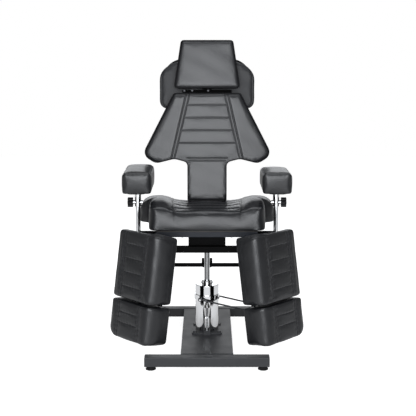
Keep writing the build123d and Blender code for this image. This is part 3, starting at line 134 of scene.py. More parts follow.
def handlingWear():
    # scattered scuffs and a veil of dust
    group, given, result = newGroup(
        "handling wear", {"Vector": None, "Scuff Scale": 60.0, "Amount": 0.2}, ["Scuff", "Dust"])
    at = given["Vector"]
    marks = noise(group, at, given["Scuff Scale"], 8.0, roughness=0.7)
    scuff = ramp(group, marks, 0.58, 0.72, kind="SMOOTHSTEP")
    group.links.new(calc(group, "MULTIPLY", scuff, given["Amount"]), result["Scuff"])
    group.links.new(calc(group, "MULTIPLY", noise(group, at, 5.0, 4.0), given["Amount"]), result["Dust"])
    return group


def fineTooth():
    # powder coat, cast rubber and moulded plastic share this tooth
    group, given, result = newGroup(
        "fine tooth", {"Vector": None, "Tooth Scale": 900.0, "Stretch": (1.0, 1.0, 1.0)}, ["Height", "Drift"])
    drawn = node(group, "ShaderNodeVectorMath", {0: given["Vector"], 1: given["Stretch"]}, operation="MULTIPLY")
    group.links.new(noise(group, drawn.outputs["Vector"], given["Tooth Scale"], 3.0), result["Height"])
    group.links.new(noise(group, given["Vector"], 14.0, 4.0), result["Drift"])
    return group


groups = {"grain": leatherGrain(), "wear": handlingWear(), "tooth": fineTooth()}


def startMaterial(name):
    material = bpy.data.materials.new(name)
    material.use_nodes = True
    tree = material.node_tree
    tree.nodes.clear()
    output = tree.nodes.new("ShaderNodeOutputMaterial")
    shader = tree.nodes.new("ShaderNodeBsdfPrincipled")
    tree.links.new(shader.outputs["BSDF"], output.inputs["Surface"])
    return material, tree, shader, tree.nodes.new("ShaderNodeTexCoord").outputs["Object"]


def placed(tree, kind, where, values):
    # one of the shared groups, with this material's own values
    return node(tree, "ShaderNodeGroup", {"Vector": where, **values}, node_tree=groups[kind]).outputs


def dress(tree, shader, tone, dark, light, worn, rough, height, strength, relief):
    mixed = node(tree, "ShaderNodeMix", {"Factor": tone}, data_type="RGBA")
    mixed.inputs[6].default_value = (*dark, 1.0)
    mixed.inputs[7].default_value = (*light, 1.0)
    tree.links.new(mixed.outputs[2], shader.inputs["Base Color"])
    tree.links.new(ramp(tree, worn, 0.25, 0.75, *rough), shader.inputs["Roughness"])
    bump = node(tree, "ShaderNodeBump", {"Height": height, "Strength": strength, "Distance": relief})
    tree.links.new(bump.outputs["Normal"], shader.inputs["Normal"])


def leather(name, dark, light, rough, specular, crease=0.5, wearAmount=0.16, relief=0.00035):
    material, tree, shader, where = startMaterial(name)
    grain = placed(tree, "grain", where, {"Crease": crease})
    wear = placed(tree, "wear", where, {"Amount": wearAmount})
    tone = calc(tree, "ADD", grain["Tone"], wear["Scuff"])
    dress(tree, shader, tone, dark, light, grain["Polish"], rough[::-1], grain["Height"], 0.55, relief)
    shader.inputs["Specular IOR Level"].default_value = specular
    return material


def coated(name, dark, light, rough, metallic=0.0, toothScale=900.0, relief=0.0002, stretch=(1.0, 1.0, 1.0),
           wearAmount=0.1, specular=0.5):
    material, tree, shader, where = startMaterial(name)
    tooth = placed(tree, "tooth", where, {"Tooth Scale": toothScale, "Stretch": stretch})
    wear = placed(tree, "wear", where, {"Amount": wearAmount})
    tone = calc(tree, "ADD", tooth["Drift"], wear["Dust"])
    worn = calc(tree, "ADD", tooth["Drift"], wear["Scuff"])
    dress(tree, shader, tone, dark, light, worn, rough, tooth["Height"], 0.4, relief)
    shader.inputs["Metallic"].default_value = metallic
    shader.inputs["Specular IOR Level"].default_value = specular
    return material


finishes = {
    "black_leather": leather(
        "black leather", (0.006, 0.0065, 0.008), (0.011, 0.0115, 0.0135), (0.3, 0.4), specular=0.5),
    # the seat's copy of the black leather, darker and less shiny: painted shade
    "seat_leather": leather(
        "seat leather", (0.005, 0.0055, 0.007), (0.01, 0.0105, 0.0125), (0.28, 0.38), specular=0.41),
    # the cradle's copy of the black leather, rougher and less shiny: painted shade
    "cradle_leather": leather(
        "cradle leather", (0.006, 0.0065, 0.008), (0.011, 0.0115, 0.0135), (0.38, 0.5), specular=0.34),
    # the piping's copy of the black leather, darker and duller: painted shade along the pads' edges
    "piping": leather(
        "piping leather", (0.003, 0.003, 0.0035), (0.006, 0.006, 0.007), (0.4, 0.52), specular=0.12,
        crease=0.2),
    "base_paint": coated(
        "anthracite coat", (0.028, 0.029, 0.031), (0.042, 0.043, 0.046), (0.38, 0.5), specular=0.3),
    "frame_paint": coated(
        "slate frame coat", (0.015, 0.0175, 0.023), (0.023, 0.026, 0.033), (0.38, 0.52), specular=0.22),
    "black_paint": coated(
        "black coat", (0.0012, 0.0012, 0.0013), (0.0028, 0.0028, 0.003), (0.4, 0.54), specular=0.04),
    "chrome": coated(
        "polished chrome", (0.66, 0.665, 0.675), (0.74, 0.745, 0.75), (0.05, 0.1), metallic=1.0, relief=0.00002,
        wearAmount=0.25),
    "steel": coated(
        "zinc plated steel", (0.3, 0.305, 0.315), (0.42, 0.425, 0.435), (0.24, 0.4), metallic=1.0,
        toothScale=260.0, stretch=(1.0, 1.0, 14.0), relief=0.00006),
    # a darker copy of the chrome for the piston rod: painted shade standing in for its darker reflections
    "rod_chrome": coated(
        "hard chrome", (0.36, 0.365, 0.37), (0.44, 0.445, 0.45), (0.05, 0.1), metallic=1.0, relief=0.00002,
        wearAmount=0.2),
    # a darker copy of the steel for the pedal yoke and the bolts under the head pad: painted shade that dims
    # their reflections
    "dark_steel": coated(
        "dark steel", (0.03, 0.03, 0.032), (0.05, 0.05, 0.053), (0.28, 0.4), metallic=1.0, relief=0.00005),
    "rubber": coated(
        "black rubber", (0.012, 0.012, 0.012), (0.024, 0.024, 0.024), (0.62, 0.8), toothScale=1400.0,
        specular=0.12),
    "black_plastic": coated(
        "moulded plastic", (0.01, 0.01, 0.011), (0.018, 0.018, 0.019), (0.36, 0.5), toothScale=1800.0,
        relief=0.0001, specular=0.16),
    "plywood": coated(
        "black stained plywood", (0.012, 0.011, 0.01), (0.03, 0.027, 0.024), (0.5, 0.7), toothScale=90.0,
        stretch=(1.0, 12.0, 1.0), relief=0.0003, wearAmount=0.3),
    # a deeper, duller black for the plate across the gap under the head pad: painted shade
    "matte_black": coated(
        "matte black", (0.002, 0.002, 0.002), (0.005, 0.005, 0.005), (0.7, 0.85), specular=0.06),
    "thread": coated("bonded thread", (0.02, 0.02, 0.022), (0.05, 0.05, 0.054), (0.4, 0.55), toothScale=3000.0),
}
slots = {part["node"]: part["material_slot"] for part in frame["record"]["subparts"]}
# the piston rod and pedal yoke take darker copies of chrome and steel: painted shade
ownFinish = {"piston_rod": "rod_chrome", "pedal_yoke": "dark_steel", "pump_flange": "base_paint",
             "flange_bolts": "base_paint", "pedal_pump_barrel": "chrome"}
for name, obj in nodes.items():
    obj.data.materials.clear()
    obj.data.materials.append(finishes[ownFinish.get(name, slots[name])])
print("materials made:", len(finishes), "slots for", len(slots), "nodes")


# Cushion forms
ringLimits = {"sharpest": 0.3, "leastRadius": 0.0015, "longest": 0.46}  # keep drawn-in outlines sound


def insetCorners(corners, inset):
    moved = []
    count = len(corners)
    for i, here in enumerate(corners):
        before = corners[i - 1]
        after = corners[(i + 1) % count]
        a = (here - before).normalized()
        b = (after - here).normalized()
        normalA = Vector((-a.y, a.x))
        normalB = Vector((-b.y, b.x))
        middle = (normalA + normalB).normalized()
        moved.append(here + middle * (inset / max(ringLimits["sharpest"], middle.dot(normalA))))
    return moved


def roundedRing(corners, radii, inset, steps=6):
    # corners run anticlockwise; every ring of one pad has the same number of points
    moved = insetCorners([Vector(c) for c in corners], inset)
    count = len(moved)
    ring = []
    for i, here in enumerate(moved):
        before = moved[i - 1] - here
        after = moved[(i + 1) % count] - here
        a, b = before.normalized(), after.normalized()
        convex = a.x * b.y - a.y * b.x < 0
        radius = max(ringLimits["leastRadius"], radii[i] - inset if convex else radii[i] + inset)
        half = math.acos(max(-1.0, min(1.0, a.dot(b)))) / 2
        longest = ringLimits["longest"]
        reach = min(radius / math.tan(half), longest * before.length, longest * after.length)
        radius = reach * math.tan(half)
        centre = here + (a + b).normalized() * (radius / math.sin(half))
        first, last = here + a * reach - centre, here + b * reach - centre
        sweep = first.angle_signed(last)
        for k in range(steps + 1):
            turned = first.copy()
            turned.rotate(Matrix.Rotation(-sweep * k / steps, 2))
            ring.append(centre + turned)
    return ring


def linked(name, data):
    obj = bpy.data.objects.new(name, data)
    bpy.context.scene.collection.objects.link(obj)
    return obj


def meshObject(name, bm, material=None):
    mesh = bpy.data.meshes.new(name)
    bm.to_mesh(mesh)
    bm.free()
    if material:
        mesh.materials.append(material)
    return linked(name, mesh)


def paddedForm(name, pad):
    # stacked rings: rounded at the back by a little, at the face by the pad's edge
    low, high, edge, tuck = pad["low"], pad["high"], pad["edge"], pad["tuck"]
    levels = [(low, tuck), (low + 0.3 * tuck, 0.3 * tuck), (low + tuck, 0.0)]
    levels.append((low + (high - edge - low) * 0.5, 0.0))
    for t in np.linspace(0, math.pi / 2, 7):
        levels.append((high - edge * (1 - math.sin(t)), edge * (1 - math.cos(t))))
    bm = bmesh.new()
    rows = []
    for out, inset in levels:
        ring = roundedRing(pad["corners"], pad["radii"], pad["swell"] + inset)
        rows.append([bm.verts.new((p.x, p.y, out)) for p in ring])
    for lower, upper in zip(rows, rows[1:]):
        count = len(lower)
        for i in range(count):
            j = (i + 1) % count
            bm.faces.new((lower[i], lower[j], upper[j], upper[i]))
    bm.faces.new(reversed(rows[0]))
    bm.faces.new(rows[-1])
    bmesh.ops.triangulate(bm, faces=[f for f in bm.faces if len(f.verts) > 4])
    bmesh.ops.recalc_face_normals(bm, faces=bm.faces)
    return meshObject(name, bm)


def nodeForm(name, pad):
    # a merged copy of the CAD node, in the pad's own plane
    bm = bmesh.new()
    bm.from_mesh(nodes[pad["node"]].data)
    bmesh.ops.remove_doubles(bm, verts=bm.verts, dist=0.00005)
    bmesh.ops.recalc_face_normals(bm, faces=bm.faces)
    bmesh.ops.transform(bm, matrix=pad["plane"].inverted(), verts=bm.verts)
    return meshObject(name, bm)


def bake(obj, modifier):
    # the modifier's result becomes the object's own mesh
    graph = bpy.context.evaluated_depsgraph_get()
    mesh = bpy.data.meshes.new_from_object(obj.evaluated_get(graph), depsgraph=graph)
    obj.modifiers.remove(modifier)
    old = obj.data
    obj.data = mesh
    bpy.data.meshes.remove(old)
    return mesh


def evenMesh(obj, voxel):
    remesh = obj.modifiers.new("even", "REMESH")
    remesh.mode = "VOXEL"
    remesh.voxel_size = voxel
    return bake(obj, remesh)


def pointValues(mesh, kind="co"):
    found = np.zeros(len(mesh.vertices) * 3)
    mesh.vertices.foreach_get(kind, found)
    return found.reshape(-1, 3)


def setCoordinates(mesh, co):
    mesh.vertices.foreach_set("co", co.ravel())
    mesh.update()


def relaxed(mesh, co, rounds):
    pairs = np.zeros(len(mesh.edges) * 2, int)
    mesh.edges.foreach_get("vertices", pairs)
    a, b = pairs.reshape(-1, 2).T
    count = np.bincount(a, minlength=len(co)) + np.bincount(b, minlength=len(co))
    for _ in range(rounds):
        total = np.zeros_like(co)
        for k in range(3):
            total[:, k] = np.bincount(a, co[b, k], len(co)) + np.bincount(b, co[a, k], len(co))
        co = co * 0.5 + total / count[:, None] * 0.5
    return co


def distanceTo(co, line):
    # shortest distance of each point to a run of straight pieces
    best = np.full(len(co), 1e9)
    points = np.array(line, float)
    for start, end in zip(points, points[1:]):
        run = end - start
        length = max(1e-12, float(run @ run))
        t = np.clip((co - start) @ run / length, 0, 1)
        best = np.minimum(best, np.linalg.norm(co - start - t[:, None] * run, axis=1))
    return best


def faceSeamShare(pad, co, width):
    # 1 on a seam of the face, falling to 0 beside it
    share = np.zeros(len(co))
    for seam in pad["seams"]:
        near = distanceTo(co[:, :2], seam)
        share = np.maximum(share, np.exp(-(near / width) ** 2))
    return share


def hullRing(pad, inset, step=0.008):
    # the outline of a pad whose outer edge is convex, drawn in
    away = pad["plane"].inverted()
    flat = [(away @ v.co).to_2d() for v in nodes[pad["node"]].data.vertices]
    hull = [flat[i] for i in convex_hull_2d(flat)]
    even = [p.to_2d() for p in evenLoop(hull, step)]
    drawn = []
    for i, here in enumerate(even):
        run = (even[(i + 1) % len(even)] - even[i - 1]).normalized()
        drawn.append(here + Vector((-run.y, run.x)) * inset)
    return drawn


def ringLine(pad, further=0.0, step=0.006):
    # the sewn line round a pad's face, as points in its own plane
    ring = pad["ring"]
    inset = ring["inset"] + further
    if "corners" in ring:
        points = roundedRing(ring["corners"], ring["radii"], inset)
    else:
        points = hullRing(pad, inset)
    line = [(p.x, p.y, ring["height"](p.x, p.y)) for p in evenLoop(points, step)]
    return line + line[:1]


def evenLoop(points, step):
    loop = [Vector((p.x, p.y, 0)) for p in (*points, points[0])]
    result = []
    carried = 0.0
    for a, b in zip(loop, loop[1:]):
        length = (b - a).length
        while carried < length:
            result.append(a.lerp(b, carried / length))
            carried += step
        carried -= length
    return result


def crossSeam(x, up):
    return [(-x, up), (x, up)]


backPanel = {"sides": [((0.1845, 0.316), (0.108, 0.643)), ((0.1690, 0.318), (0.091, 0.645))],
             "foot": (0.1605, 0.350), "head": (0.0905, 0.651), "shares": (0.16, 0.375, 0.59, 0.805),
             "neck": ((0.104, 0.320), (0.095, 0.307))}


def backSeams():
    panel = backPanel
    seams = [[(side * x, up) for x, up in line] for side in (-1, 1) for line in panel["sides"]]
    for share in panel["shares"]:
        seams.append(crossSeam(*(a + (b - a) * share for a, b in zip(panel["foot"], panel["head"]))))
    return seams + [crossSeam(x, up) for x, up in panel["neck"]]


legPanel = {"width": 0.272, "innerShare": 0.21, "outerShare": 0.285, "doubled": 0.016}


def legSeams(side, top, length, shares):
    # two doubled seams down the pad and cross seams between them
    inner = side * -legPanel["innerShare"] * legPanel["width"]
    outer = side * legPanel["outerShare"] * legPanel["width"]
    doubled = side * legPanel["doubled"]
    seams = [[(x, top - length), (x, top)] for x in (inner, inner - doubled, outer, outer + doubled)]
    seams += [[(inner, top - share * length), (outer, top - share * length)] for share in shares]
    return seams


seatPanel = {"frontX": 0.158, "rearX": 0.176, "front": -0.128, "rear": 0.262,
             "rows": (-0.048, 0.038, 0.122, 0.204)}


def seatSeams():
    panel = seatPanel
    length = panel["rear"] - panel["front"]
    seams = [[(side * panel["frontX"], panel["front"]), (side * panel["rearX"], panel["rear"])]
             for side in (-1, 1)]
    for y in panel["rows"]:
        share = (y - panel["front"]) / length
        seams.append(crossSeam(panel["frontX"] + (panel["rearX"] - panel["frontX"]) * share, y))
    return seams


def box(x0, x1, y0, y1):
    return [(x0, y0), (x1, y0), (x1, y1), (x0, y1)]


def smoothStep(low, high, value):
    t = np.clip((value - low) / (high - low), 0, 1)
    return t * t * (3 - 2 * t)


def fading(depth, reach):
    # 1 at no depth, 0 from the reach on
    return np.clip(1 - depth / reach, 0, 1)


seatTop = {"dish": 0.698, "crest": 0.738, "crestX": 0.231, "side": 0.694, "sideX": 0.337,
           "fall": math.tan(math.radians(1.7)), "front": -0.146, "frontCrest": 0.714, "rearCrest": 0.714}
seatFront = {"cornerX": 0.215, "cornerY": -0.072, "power": 4, "leastShare": 0.2, "widerShare": 0.021,
             "footShare": 0.014, "footHeight": 0.035, "widerTo": 0.08, "lean": 0.17, "leanFrom": -0.125,
             "leanTo": -0.02}


def seatSection(x, crest):
    # height across the seat: dished in the middle, highest at the bolsters
    t = seatTop
    x = np.abs(x)
    inner = smoothStep(0.0, t["crestX"] * 1.02, x) ** 1.25
    outer = smoothStep(t["crestX"], t["sideX"] * 1.12, x)
    return t["dish"] + (crest - t["dish"]) * inner - (crest - t["side"] + 0.02) * outer


def seatHeight(x, y):
    t = seatTop
    crest = t["frontCrest"] + (t["crest"] - t["frontCrest"]) * smoothStep(-0.145, 0.0, y)
    crest = crest - (t["crest"] - t["rearCrest"]) * smoothStep(0.03, 0.30, y)
    return seatSection(x, crest) - t["fall"] * 0.6 * (y - t["front"])


def shapeSeat(co, pad):
    # the solid's plain section is drawn down to the sewn one, more towards the front edge and the back
    t, f, low = seatTop, seatFront, pad["low"]
    plain = seatSection(co[:, 0], t["crest"]) - t["fall"] * (co[:, 1] - t["front"])
    wanted = seatHeight(co[:, 0], co[:, 1])
    co[:, 2] = low + (co[:, 2] - low) * (wanted - low) / (plain - low)
    # tighter front corners
    beyond = np.stack([np.clip(np.abs(co[:, 0]) - f["cornerX"], 0, None),
                       np.clip(f["cornerY"] - co[:, 1], 0, None)])
    reach = np.maximum(np.hypot(*beyond), 1e-9)
    squarer = np.sum((beyond / reach) ** f["power"], axis=0)
    squarer = np.where(squarer > 0, np.maximum(squarer, f["leastShare"]) ** (-1 / f["power"]), 1) - 1
    co[:, 0] += np.sign(co[:, 0]) * beyond[0] * squarer
    co[:, 1] -= beyond[1] * squarer
    # the front half spreads at its foot
    foot = np.exp(-(((co[:, 2] - low) / f["footHeight"]) ** 2))
    spreading = 1 - smoothStep(0.0, f["widerTo"], co[:, 1])
    co[:, 0] *= 1 + (f["widerShare"] + f["footShare"] * foot) * spreading
    # the front leans back as it rises
    co[:, 1] += f["lean"] * (co[:, 2] - low) * (1 - smoothStep(f["leanFrom"], f["leanTo"], co[:, 1]))
    return co


cradleArch = {"wider": 1.03, "lower": 0.022, "from": 0.70, "to": 0.85}


def shapeCradle(co, pad):
    # a touch wider and flatter on top than the solid
    co[:, 0] *= cradleArch["wider"]
    co[:, 1] -= cradleArch["lower"] * smoothStep(cradleArch["from"], cradleArch["to"], co[:, 1])
    return co


# "wrap" is how far the inner side reaches behind the board's edge, "clear" how far the upper outer end leans in
legInner = {"from": 0.07, "to": 0.145, "edgeFrom": 0.019, "edgeTo": 0.008, "wrap": 0.026, "wrapDepth": 0.05,
            "clear": 0.014, "clearDepth": 0.08, "clearUp": (-0.04, 0.01), "clearAcross": (-0.03, 0.02)}
legRoll = {-1: {"face": 0.1122, "radius": 0.0728, "angle": 36.0},
           1: {"face": 0.1055, "radius": 0.0478, "angle": 10.0}}


def shapeLegPad(co, pad):
    # the inner side leaves the face at an angle, rolls over and wraps the board's edge
    inner, roll, toward = legInner, legRoll[pad["side"]], -pad["side"]
    share = np.clip((co[:, 0] * toward - inner["from"]) / (inner["to"] - inner["from"]), 0, 1)
    depth = np.clip(pad["high"] - co[:, 2], 0, None)
    leaving = math.radians(roll["angle"])
    cosine = np.clip(math.cos(leaving) - depth / roll["radius"], 0, 1)
    rolled = roll["radius"] * (np.sqrt(1 - cosine ** 2) - math.sin(leaving))
    co[:, 0] += toward * share * (roll["face"] + rolled - inner["to"])
    edge = smoothStep(inner["to"] - inner["edgeFrom"], inner["to"] - inner["edgeTo"], co[:, 0] * toward)
    # the upper end leans in at its outer half, clear of the seat's corner when the leg rest is raised
    height = co[:, 2] - pad["low"]
    leaning = fading(height, inner["clearDepth"]) * (1 - smoothStep(*inner["clearAcross"], co[:, 0] * toward))
    co[:, 1] -= inner["clear"] * leaning * smoothStep(*inner["clearUp"], co[:, 1])
    co[:, 2] -= inner["wrap"] * edge * fading(height, inner["wrapDepth"])
    return co


backHalf = [(0.1000, 0.099), (0.1000, 0.299), (0.168, 0.317), (0.264, 0.293), (0.333, 0.337), (0.1710, 0.653)]
backRadii = [0.006, 0.026, 0.06, 0.05, 0.052, 0.014]
seatHalf = [(0.275, -0.130), (0.275, 0.048), (0.337, 0.092), (0.337, 0.278)]
sides = (("left", -1), ("right", 1))
level = Matrix.Identity(4)
# "cap" limits what the cloth run may move, "fill" goes to the soft rows, "crown" is the radius across the face
plainPad = {"voxel": 0.005, "swell": 0.0, "tuck": 0.002, "seams": [], "fill": 0.8, "crown": 0.0, "slope": 0.0,
            "relax": 1, "pucker": 0.0, "finish": "black_leather"}
pads = {
    "seatCushion": {
        "node": "seat_cushion", "body": "carriage", "plane": level, "voxel": 0.006, "low": 0.601, "high": 0.738,
        "swell": 0.001, "seams": seatSeams(), "depth": 0.0035, "width": 0.005, "cap": 0.009, "relax": 7,
        # the seat takes the darker leather copy, painted shade
        "shape": shapeSeat, "finish": "seat_leather", "pucker": 0.0004,
        "ring": {"corners": seatHalf + [(-x, y) for x, y in reversed(seatHalf)],
                 "radii": [0.06, 0.03, 0.05, 0.055, 0.055, 0.05, 0.03, 0.06], "inset": 0.009,
                 "height": lambda x, y: float(seatHeight(x, y)) - 0.006, "depth": 0.0021, "width": 0.005},
    },
    "backCushion": {
        "node": "back_cushion", "body": "back", "plane": backPlane, "low": 0.035, "high": 0.107,
        "corners": backHalf + [(-x, up) for x, up in reversed(backHalf)], "radii": backRadii + backRadii[::-1],
        "edge": 0.015, "tuck": 0.006, "seams": backSeams(), "depth": 0.0008, "width": 0.0034,
        "voxel": 0.0042, "cap": 0.0010, "fill": 0.75, "crown": 7.0, "relax": 2,
    },
    "headCushion": {
        "node": "head_cushion", "body": "head", "plane": backPlane, "low": 0.045, "high": 0.107,
        "corners": [(-0.169, 0.679), (0.169, 0.679), (0.1325, 0.921), (-0.1325, 0.921)], "radii": [0.014] * 4,
        "edge": 0.013, "tuck": 0.005, "cap": 0.0007, "crown": 3.5,
    },
    "cradleCushion": {
        "node": "cradle_cushion", "body": "cradle", "plane": backPlane, "low": -0.030, "high": 0.009,
        # the cradle takes the duller leather copy, painted shade
        "swell": 0.002, "cap": 0.0012, "relax": 8, "fill": 0.7, "finish": "cradle_leather",
        "shape": shapeCradle,
        "ring": {"inset": 0.008, "height": lambda x, y: 0.007, "depth": 0.0007, "width": 0.003},
    },
}
armPad = {"low": 0.778, "edge": 0.013, "swell": 0.001, "tuck": 0.006, "cap": 0.0055, "pucker": 0.00025,
          "radii": [0.018, 0.018, 0.046, 0.046]}
armTop = {-1: {"high": 0.881, "slope": 0.0}, 1: {"high": 0.8765, "slope": -0.045}}
legPad = {"voxel": 0.0045, "low": 0.035, "high": 0.137, "edge": 0.011, "depth": 0.0012, "width": 0.0034,
          "cap": 0.0022, "crown": 3.0, "pucker": 0.00028, "shape": shapeLegPad, "wrap": legInner["wrap"]}
calfRadii = [0.014, 0.014, 0.018, 0.018]
for word, side in sides:
    reach = sorted((side * 0.411, side * 0.269))
    top = armTop[side]
    pads[f"{word}ArmCushion"] = {
        "node": f"{word}_armrest_cushion", "body": f"{word}_armrest", "plane": level, **armPad, **top,
        "corners": box(*reach, -0.108, 0.218),
        "ring": {"corners": box(*reach, -0.108, 0.218), "radii": armPad["radii"], "inset": 0.008,
                 "height": lambda x, y, top=top["high"] - 0.005, fall=top["slope"]: top + fall * y,
                 "depth": 0.0025, "width": 0.004},
    }
    reach = sorted((side * 0.142, -side * 0.145))
    footRadii = [0.052, 0.018, 0.012, 0.012] if side < 0 else [0.018, 0.052, 0.012, 0.012]
    for kind, body, foot, head, radii, seams in (
            ("Calf", "leg", -0.302, 0.021, calfRadii, legSeams(side, 0.012, 0.304, (0.17, 0.39, 0.61, 0.83))),
            ("Foot", "foot", -0.494, -0.3125, footRadii, legSeams(side, -0.313, 0.172, (0.3, 0.6)))):
        pads[f"{word}{kind}Cushion"] = {
            "node": f"{word}_{kind.lower()}_cushion", "body": f"{word}_{body}", "plane": legPlane(side),
            "side": side, "corners": box(*reach, foot, head), "radii": radii, "seams": seams, **legPad,
        }
pads = {name: {**plainPad, **pad} for name, pad in pads.items()}


forming = {"looseFrom": 0.008, "looseTo": 0.05, "facing": 0.35, "seamShare": 0.7, "ringShare": 0.6,
           "sewnDepth": 0.002, "heldHeight": 0.004}


def startPad(name, pad):
    fromNode = "corners" not in pad
    obj = nodeForm(name, pad) if fromNode else paddedForm(name, pad)
    mesh = evenMesh(obj, pad["voxel"])
    co = pointValues(mesh)
    if fromNode:
        soft = relaxed(mesh, co, pad["relax"])
        if pad["body"] == "carriage":
            # the seat keeps its foot as the solid has it
            loose = smoothStep(forming["looseFrom"], forming["looseTo"], co[:, 2] - pad["low"])[:, None]
            soft = co * (1 - loose) + soft * loose
        co = pad["shape"](soft, pad)
        setCoordinates(mesh, co)
        co = co - pointValues(mesh, "normal") * pad["swell"]
        co[:, 2] = np.maximum(co[:, 2], pad["low"])
    else:
        if "shape" in pad:
            co = pad["shape"](co, pad)
        co = relaxed(mesh, co, pad["relax"])
    lift = np.clip((co[:, 2] - pad["low"]) / (pad["high"] - pad["low"]), 0, 1)
    if pad["crown"]:
        co[:, 2] -= lift * co[:, 0] ** 2 / (2 * pad["crown"])
    co[:, 2] += lift * co[:, 1] * pad["slope"]
    setCoordinates(mesh, co)
    normals = pointValues(mesh, "normal")
    sewn = np.zeros(len(co), bool)
    if pad["seams"]:
        share = faceSeamShare(pad, co, pad["width"]) * (normals[:, 2] > forming["facing"])
        co = co - normals * (share * pad["depth"])[:, None]
        sewn = share > forming["seamShare"]
    if "ring" in pad:
        pad["ringLine"] = ringLine(pad)
        near = np.exp(-(distanceTo(co, pad["ringLine"]) / pad["ring"]["width"]) ** 2)
        co = co - normals * (near * pad["ring"]["depth"])[:, None]
        if pad["ring"]["depth"] > forming["sewnDepth"]:
            sewn |= near > forming["ringShare"]
    setCoordinates(mesh, co)
    held = obj.vertex_groups.new(name="held")
    fixed = np.nonzero((co[:, 2] < pad["low"] + forming["heldHeight"]) | sewn)[0]
    held.add([int(i) for i in fixed], 1.0, "REPLACE")
    return obj


puff = {"frames": 20, "quality": 4, "mass": 0.2, "stretching": 12, "shearing": 6, "bending": 0.4, "pressure": 4}


def inflate(objects):
    # air pressure fills the leather, held at its foot and along its seams
    for obj in objects:
        cloth = obj.modifiers.new("puff", "CLOTH")
        given = cloth.settings
        given.quality = puff["quality"]
        given.mass = puff["mass"]
        given.tension_stiffness = given.compression_stiffness = puff["stretching"]
        given.shear_stiffness = puff["shearing"]
        given.bending_stiffness = puff["bending"]
        given.use_pressure = True
        given.uniform_pressure_force = puff["pressure"]
        given.vertex_group_mass = "held"
        given.effector_weights.gravity = 0
        cloth.collision_settings.use_collision = False
        cloth.point_cache.frame_start = 1
        cloth.point_cache.frame_end = puff["frames"]
    scene = bpy.context.scene
    for f in range(1, puff["frames"] + 1):
        scene.frame_set(f)
    graph = bpy.context.evaluated_depsgraph_get()
    settled = {obj.name: pointValues(obj.evaluated_get(graph).data) for obj in objects}
    for obj in objects:
        obj.modifiers.remove(obj.modifiers["puff"])
    scene.frame_set(1)
    return settled


def softCreases(co, strength):
    # long shallow creases, the same each run
    x, y, z = co.T
    wave = np.sin(41 * x + 17 * y + 9 * z) * np.sin(23 * y - 31 * z + 1.3)
    return strength * (wave + 0.6 * np.sin(67 * y + 29 * x - 53 * z + 0.4))


def puckers(co):
    # short gathers across the seams
    x, y, z = co.T
    return np.sin(305 * x + 2.1 * np.sin(47 * y)) + np.sin(281 * y + 1.8 * np.sin(53 * x) + 90 * z)


sewing = {"seamWidth": 0.0023, "seamDepth": 0.0021, "seamGather": 0.014, "ringWidth": 0.0026,
          "ringDepth": 0.0018, "ringGather": 0.018, "crease": 0.0004, "plainFoot": 0.006,
          "beside": 0.0038, "besideRing": 0.0046}


def finishPad(obj, pad, settled):
    mesh = obj.data
    start = pointValues(mesh)
    if settled is not None:
        moved = settled - start
        length = np.linalg.norm(moved, axis=1)
        moved *= (pad["cap"] * np.tanh(length / pad["cap"]) / np.maximum(length, 1e-9))[:, None]
        start = relaxed(mesh, start + moved, 1)
    start[:, 2] = np.maximum(start[:, 2], pad["low"] - pad.get("wrap", 0))
    setCoordinates(mesh, start)
    for group in list(obj.vertex_groups):
        obj.vertex_groups.remove(group)
    smooth = obj.modifiers.new("smooth", "SUBSURF")
    smooth.levels = smooth.render_levels = 1
    fine = bake(obj, smooth)
    co = pointValues(fine)
    normals = pointValues(fine, "normal")
    facing = np.clip((normals[:, 2] - 0.2) / 0.3, 0, 1)
    pull = faceSeamShare(pad, co, sewing["seamWidth"]) * facing * sewing["seamDepth"]
    near = faceSeamShare(pad, co, sewing["seamGather"]) * facing
    if "ring" in pad:
        away = distanceTo(co, pad["ringLine"])
        pull = np.maximum(pull, np.exp(-(away / sewing["ringWidth"]) ** 2) * sewing["ringDepth"])
        near = np.maximum(near, np.exp(-(away / sewing["ringGather"]) ** 2))
    loose = co[:, 2] > pad["low"] + sewing["plainFoot"]
    push = (softCreases(co, sewing["crease"]) + puckers(co) * near * pad["pucker"]) * loose - pull
    setCoordinates(fine, co + normals * push[:, None])
    fine.transform(pad["plane"])
    fine.materials.clear()
    fine.materials.append(finishes[pad["finish"]])
    fine.polygons.foreach_set("use_smooth", [True] * len(fine.polygons))
    fine.update()
    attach(obj, pad["body"])
    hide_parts(pad["node"])


cushions = {name: startPad(name, pad) for name, pad in pads.items()}
print("cushion forms:", {n: len(o.data.vertices) for n, o in cushions.items()})
settled = inflate(list(cushions.values()))
for name, obj in cushions.items():
    finishPad(obj, pads[name], settled.get(name))
print("cushions finished, simulated:", len(settled))


# Piping: a sewn welt that follows a pad's face edge
def tubeAlong(name, points, radius, material, sides=8, closed=True):
    bm = bmesh.new()
    rings = []
    count = len(points)
    for i, here in enumerate(points):
        ahead = points[(i + 1) % count] if closed or i < count - 1 else here
        behind = points[i - 1] if closed or i > 0 else here
        along = (ahead - behind).normalized()
        if i == 0:
            sideways = along.orthogonal().normalized()
        else:
            sideways = (sideways - along * sideways.dot(along)).normalized()
        third = along.cross(sideways)
        rings.append([bm.verts.new(here + (sideways * math.cos(a) + third * math.sin(a)) * radius)
                      for a in np.linspace(0, 2 * math.pi, sides, endpoint=False)])
    last = count if closed else count - 1
    for i in range(last):
        a, b = rings[i], rings[(i + 1) % count]
        offset = 0
        if closed and i == count - 1:
            gaps = [(a[0].co - v.co).length for v in b]
            offset = gaps.index(min(gaps))
        for k in range(sides):
            bm.faces.new((a[k], a[(k + 1) % sides], b[(k + 1 + offset) % sides], b[(k + offset) % sides]))
    if not closed:
        bm.faces.new(reversed(rings[0]))
        bm.faces.new(rings[-1])
    bmesh.ops.recalc_face_normals(bm, faces=bm.faces)
    for face in bm.faces:
        face.smooth = True
    return meshObject(name, bm, material)


